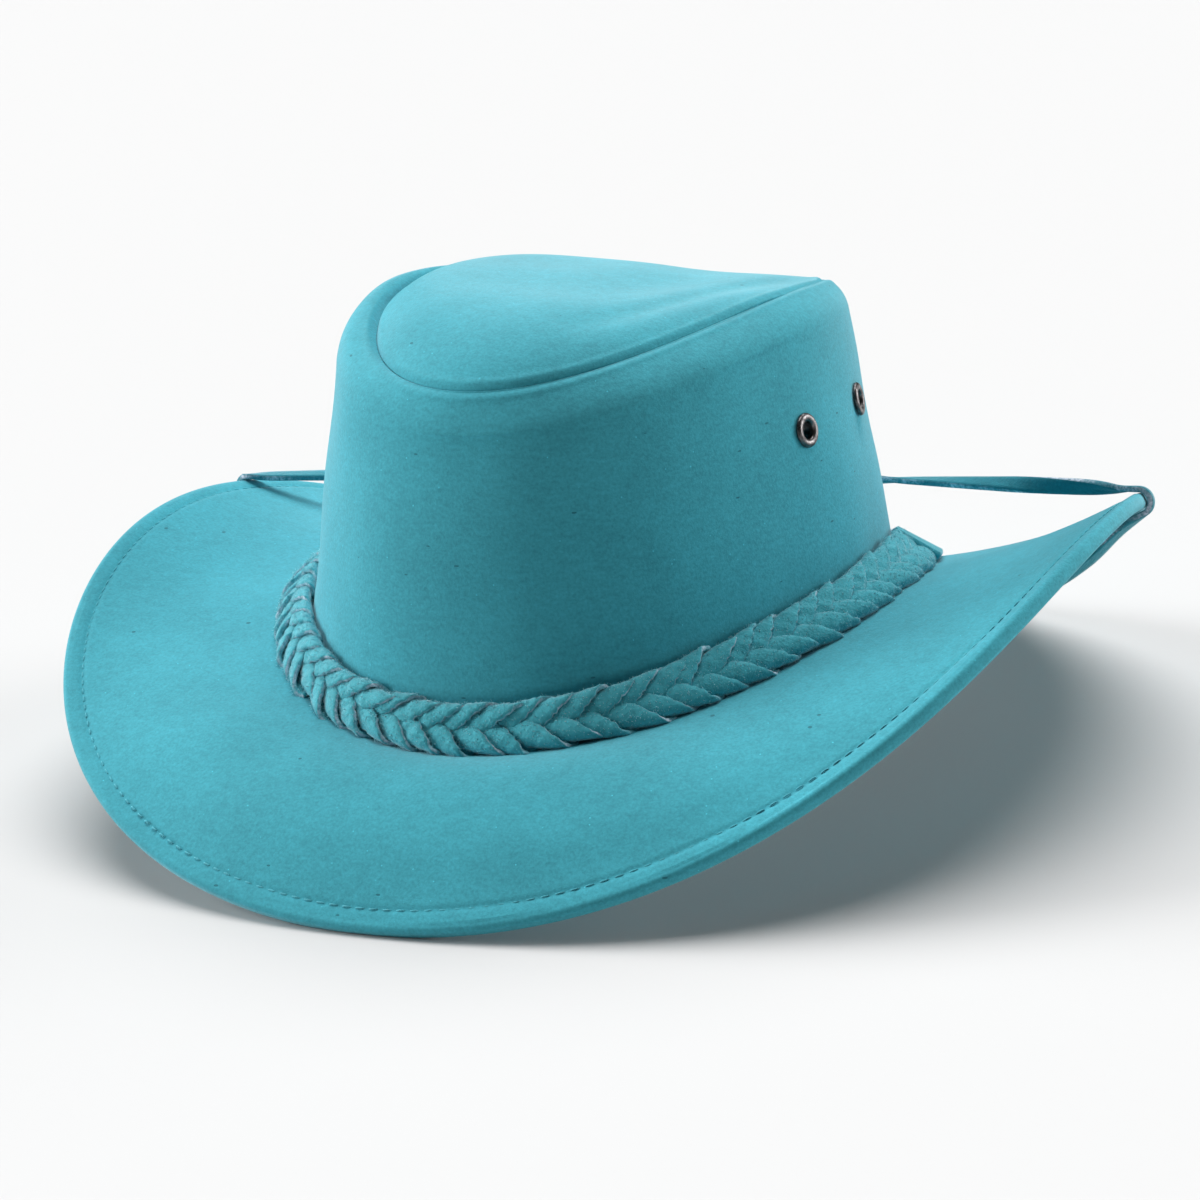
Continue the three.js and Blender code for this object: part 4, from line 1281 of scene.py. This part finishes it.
def strap_back(angle):
    foot = head_line(np.array(angle))
    rise = oval(np.array(angle), SHOULDER)[2] - foot[2]
    share = (HEAD_HEIGHT + STRAP_BACK_HEIGHT - foot[2]) / rise
    return one(wall_face, angle, share) + one(wall_normal, angle, share) * (STRAP_THICKNESS / 2 + 2 * GAP)


# How often the search for the touching point halves its range.
HALVINGS = 30


def tangent_angle(start, sign):
    """Where a straight line from a point beside the crown just touches its back."""
    near, far = math.radians(100), math.pi
    for _ in range(HALVINGS):
        angle = (near + far) / 2
        normal = one(wall_normal, sign * angle, STRAP_BACK_HEIGHT / SHOULDER["back"])
        if (start - strap_back(sign * angle)).dot(normal) > 0:
            near = angle
        else:
            far = angle
    return sign * near


# %% One half of the strap's route
def strap_side(sign):
    """Middle points of one half of the strap, and the way across the lace at each."""
    edge_angle, anchor_angle = sign * STRAP_EDGE_ANGLE, sign * STRAP_ANCHOR_ANGLE
    half = STRAP_THICKNESS / 2 + GAP
    edge_way = sign * unit(brim_edge(np.array(edge_angle + 0.01)) - brim_edge(np.array(edge_angle - 0.01)))
    wall_way = np.array([0.0, 1.0, 0.0])
    rows = []

    def inside(height, ease):
        share = height / (SHOULDER["side"] - HEAD_SIDE_RISE)
        depth = WALL_THICKNESS + half + ease
        return one(wall_face, anchor_angle, share) - one(wall_normal, anchor_angle, share) * depth

    rows.append((inside(STRAP_ANCHOR_LENGTH, 0), wall_way))
    rows.append((inside(STRAP_ANCHOR_LENGTH / 2, 0), wall_way))
    rows.append((inside(0, STRAP_CORNER_EASE / 2), wall_way))
    rows.append((inside(-BRIM_THICKNESS - STRAP_THICKNESS, STRAP_CORNER_EASE), wall_way))
    for way, drop, lean in STRAP_SLACK[::-1]:
        angle = edge_angle + (anchor_angle - edge_angle) * way
        depth = BRIM_THICKNESS + half + GAP + STRAP_SLACK_DEPTH * drop
        spot = one(brim_top, angle, 1 - way) - np.array([0, 0, depth])
        level_way = unit(wall_way * way + edge_way * (1 - way))
        lean = math.radians(lean)
        rows.append((spot, level_way * math.cos(lean) - np.array([0, 0, math.sin(lean)])))
    reach = ROLL_DIAMETER / 2 + half + GAP
    out = np.array([math.sin(edge_angle), -math.cos(edge_angle), 0])
    out = unit(out - edge_way * out.dot(edge_way))
    over = unit(np.cross(out, edge_way))
    over = over if over[2] > 0 else -over
    centre_point = roll_centre(np.array([edge_angle]))[0]
    for bend in np.radians(np.linspace(*STRAP_BEND, STRAP_BEND_POINTS)):
        spot = centre_point + reach * (out * math.cos(bend) + over * math.sin(bend))
        rows.append((spot, edge_way))
    start = rows[-1][0]
    back_angle = tangent_angle(start, sign)
    end = strap_back(back_angle)
    level = (end - start) * np.array([1, 1, 0])
    flat = unit(np.cross([0, 0, 1], level)) * sign
    flat = flat if flat.dot(edge_way) > 0 else -flat
    for way, degrees in STRAP_TWIST_RIGHT if sign > 0 else STRAP_TWIST_LEFT:
        turn = math.radians(degrees)
        wide = flat * math.cos(turn) + np.array([0, 0, math.sin(turn)])
        rows.append((start + (end - start) * way, wide))
    return rows, back_angle


# %% Strap
STRAP_SECTIONS, STRAP_BACK_POINTS = 420, 11


def make_strap():
    right, right_back = strap_side(1)
    left, left_back = strap_side(-1)
    up = np.array([0.0, 0.0, 1.0])
    back_angles = np.linspace(right_back, 2 * math.pi + left_back, STRAP_BACK_POINTS)
    rows = right + [(strap_back(angle), up) for angle in back_angles] + left[::-1]
    middle = smooth_route(np.array([spot for spot, _ in rows]), STRAP_SECTIONS)
    broad = smooth_route(np.array([wide for _, wide in rows]), STRAP_SECTIONS)
    way = unit(np.gradient(middle, axis=0))
    broad = unit(broad - way * (broad * way).sum(-1, keepdims=True))
    thick_way = np.cross(way, broad)
    wide, thick, cut = lace_section(5)
    sections = [
        [m + b * w * STRAP_WIDTH / 2 + t * h * STRAP_THICKNESS / 2 for w, h in zip(wide, thick)]
        for m, b, t in zip(middle, broad, thick_way)
    ]
    length = np.linalg.norm(np.diff(middle, axis=0), axis=1).sum()
    print(f"strap: {length:.3f} m from end to end")
    return bar_mesh("chin_lace", sections, lace_suede, cut)


dress(make_strap(), "chin_strap")

# %% [markdown]
# ## Floor and light
#
# The hat rests on a plain pale floor. In the photograph the crown is darkest where it faces the camera
# and brighter towards both sides, so two large soft lights stand left and right, one hangs above and
# behind, and only the weak light of the surroundings fills the front. The lights are suns with a wide
# angle: they look like softboxes, but shine alike on every part of the hat.

# %% Floor
FLOOR_SIZE, FLOOR_DROP, FLOOR_PAINT = 30, 0.0002, grey(0.62)


def make_floor():
    half = FLOOR_SIZE / 2
    material = bpy.data.materials.new("floor_paint")
    material.use_nodes = True
    shader = material.node_tree.nodes["Principled BSDF"]
    shader.inputs["Base Color"].default_value = FLOOR_PAINT
    shader.inputs["Roughness"].default_value = 0.9
    corners = [(x, y, -FLOOR_DROP) for x, y in ((-half, -half), (half, -half), (half, half), (-half, half))]
    floor = make_object("floor", corners, [(0, 1, 2, 3)], material, smooth=False)


make_floor()

# %% Light
CAMERA_WAY = math.atan2(CAMERA_PLACE[1], CAMERA_PLACE[0])
# Each softbox: its name, how far round from the camera to the right it stands, its height and how wide it
# looks from the hat, all in degrees, and its strength.
SOFTBOXES = [
    ("left_softbox", -105, 17, 34, 3.2),
    ("right_softbox", 104, 12, 34, 2.15),
    ("top_softbox", 172, 66, 55, 3.6),
]
FILL_COLOUR, FILL_STRENGTH = (0.93, 0.97, 1, 1), 0.03


def add_softbox(name, side_turn, height_turn, softness, strength):
    data = bpy.data.lights.new(name, "SUN")
    data.angle = math.radians(softness)
    data.energy = strength
    light = bpy.data.objects.new(name, data)
    way = CAMERA_WAY + math.radians(side_turn)
    rise = math.radians(height_turn)
    aim = Vector((math.cos(way) * math.cos(rise), math.sin(way) * math.cos(rise), math.sin(rise)))
    light.rotation_euler = aim.to_track_quat("Z", "Y").to_euler()
    light.location = aim * 2
    scene.collection.objects.link(light)


for softbox in SOFTBOXES:
    add_softbox(*softbox)

world = bpy.data.worlds.new("studio")
world.use_nodes = True
world.node_tree.nodes["Background"].inputs["Color"].default_value = FILL_COLOUR
world.node_tree.nodes["Background"].inputs["Strength"].default_value = FILL_STRENGTH
scene.world = world
scene.view_settings.view_transform = "Standard"
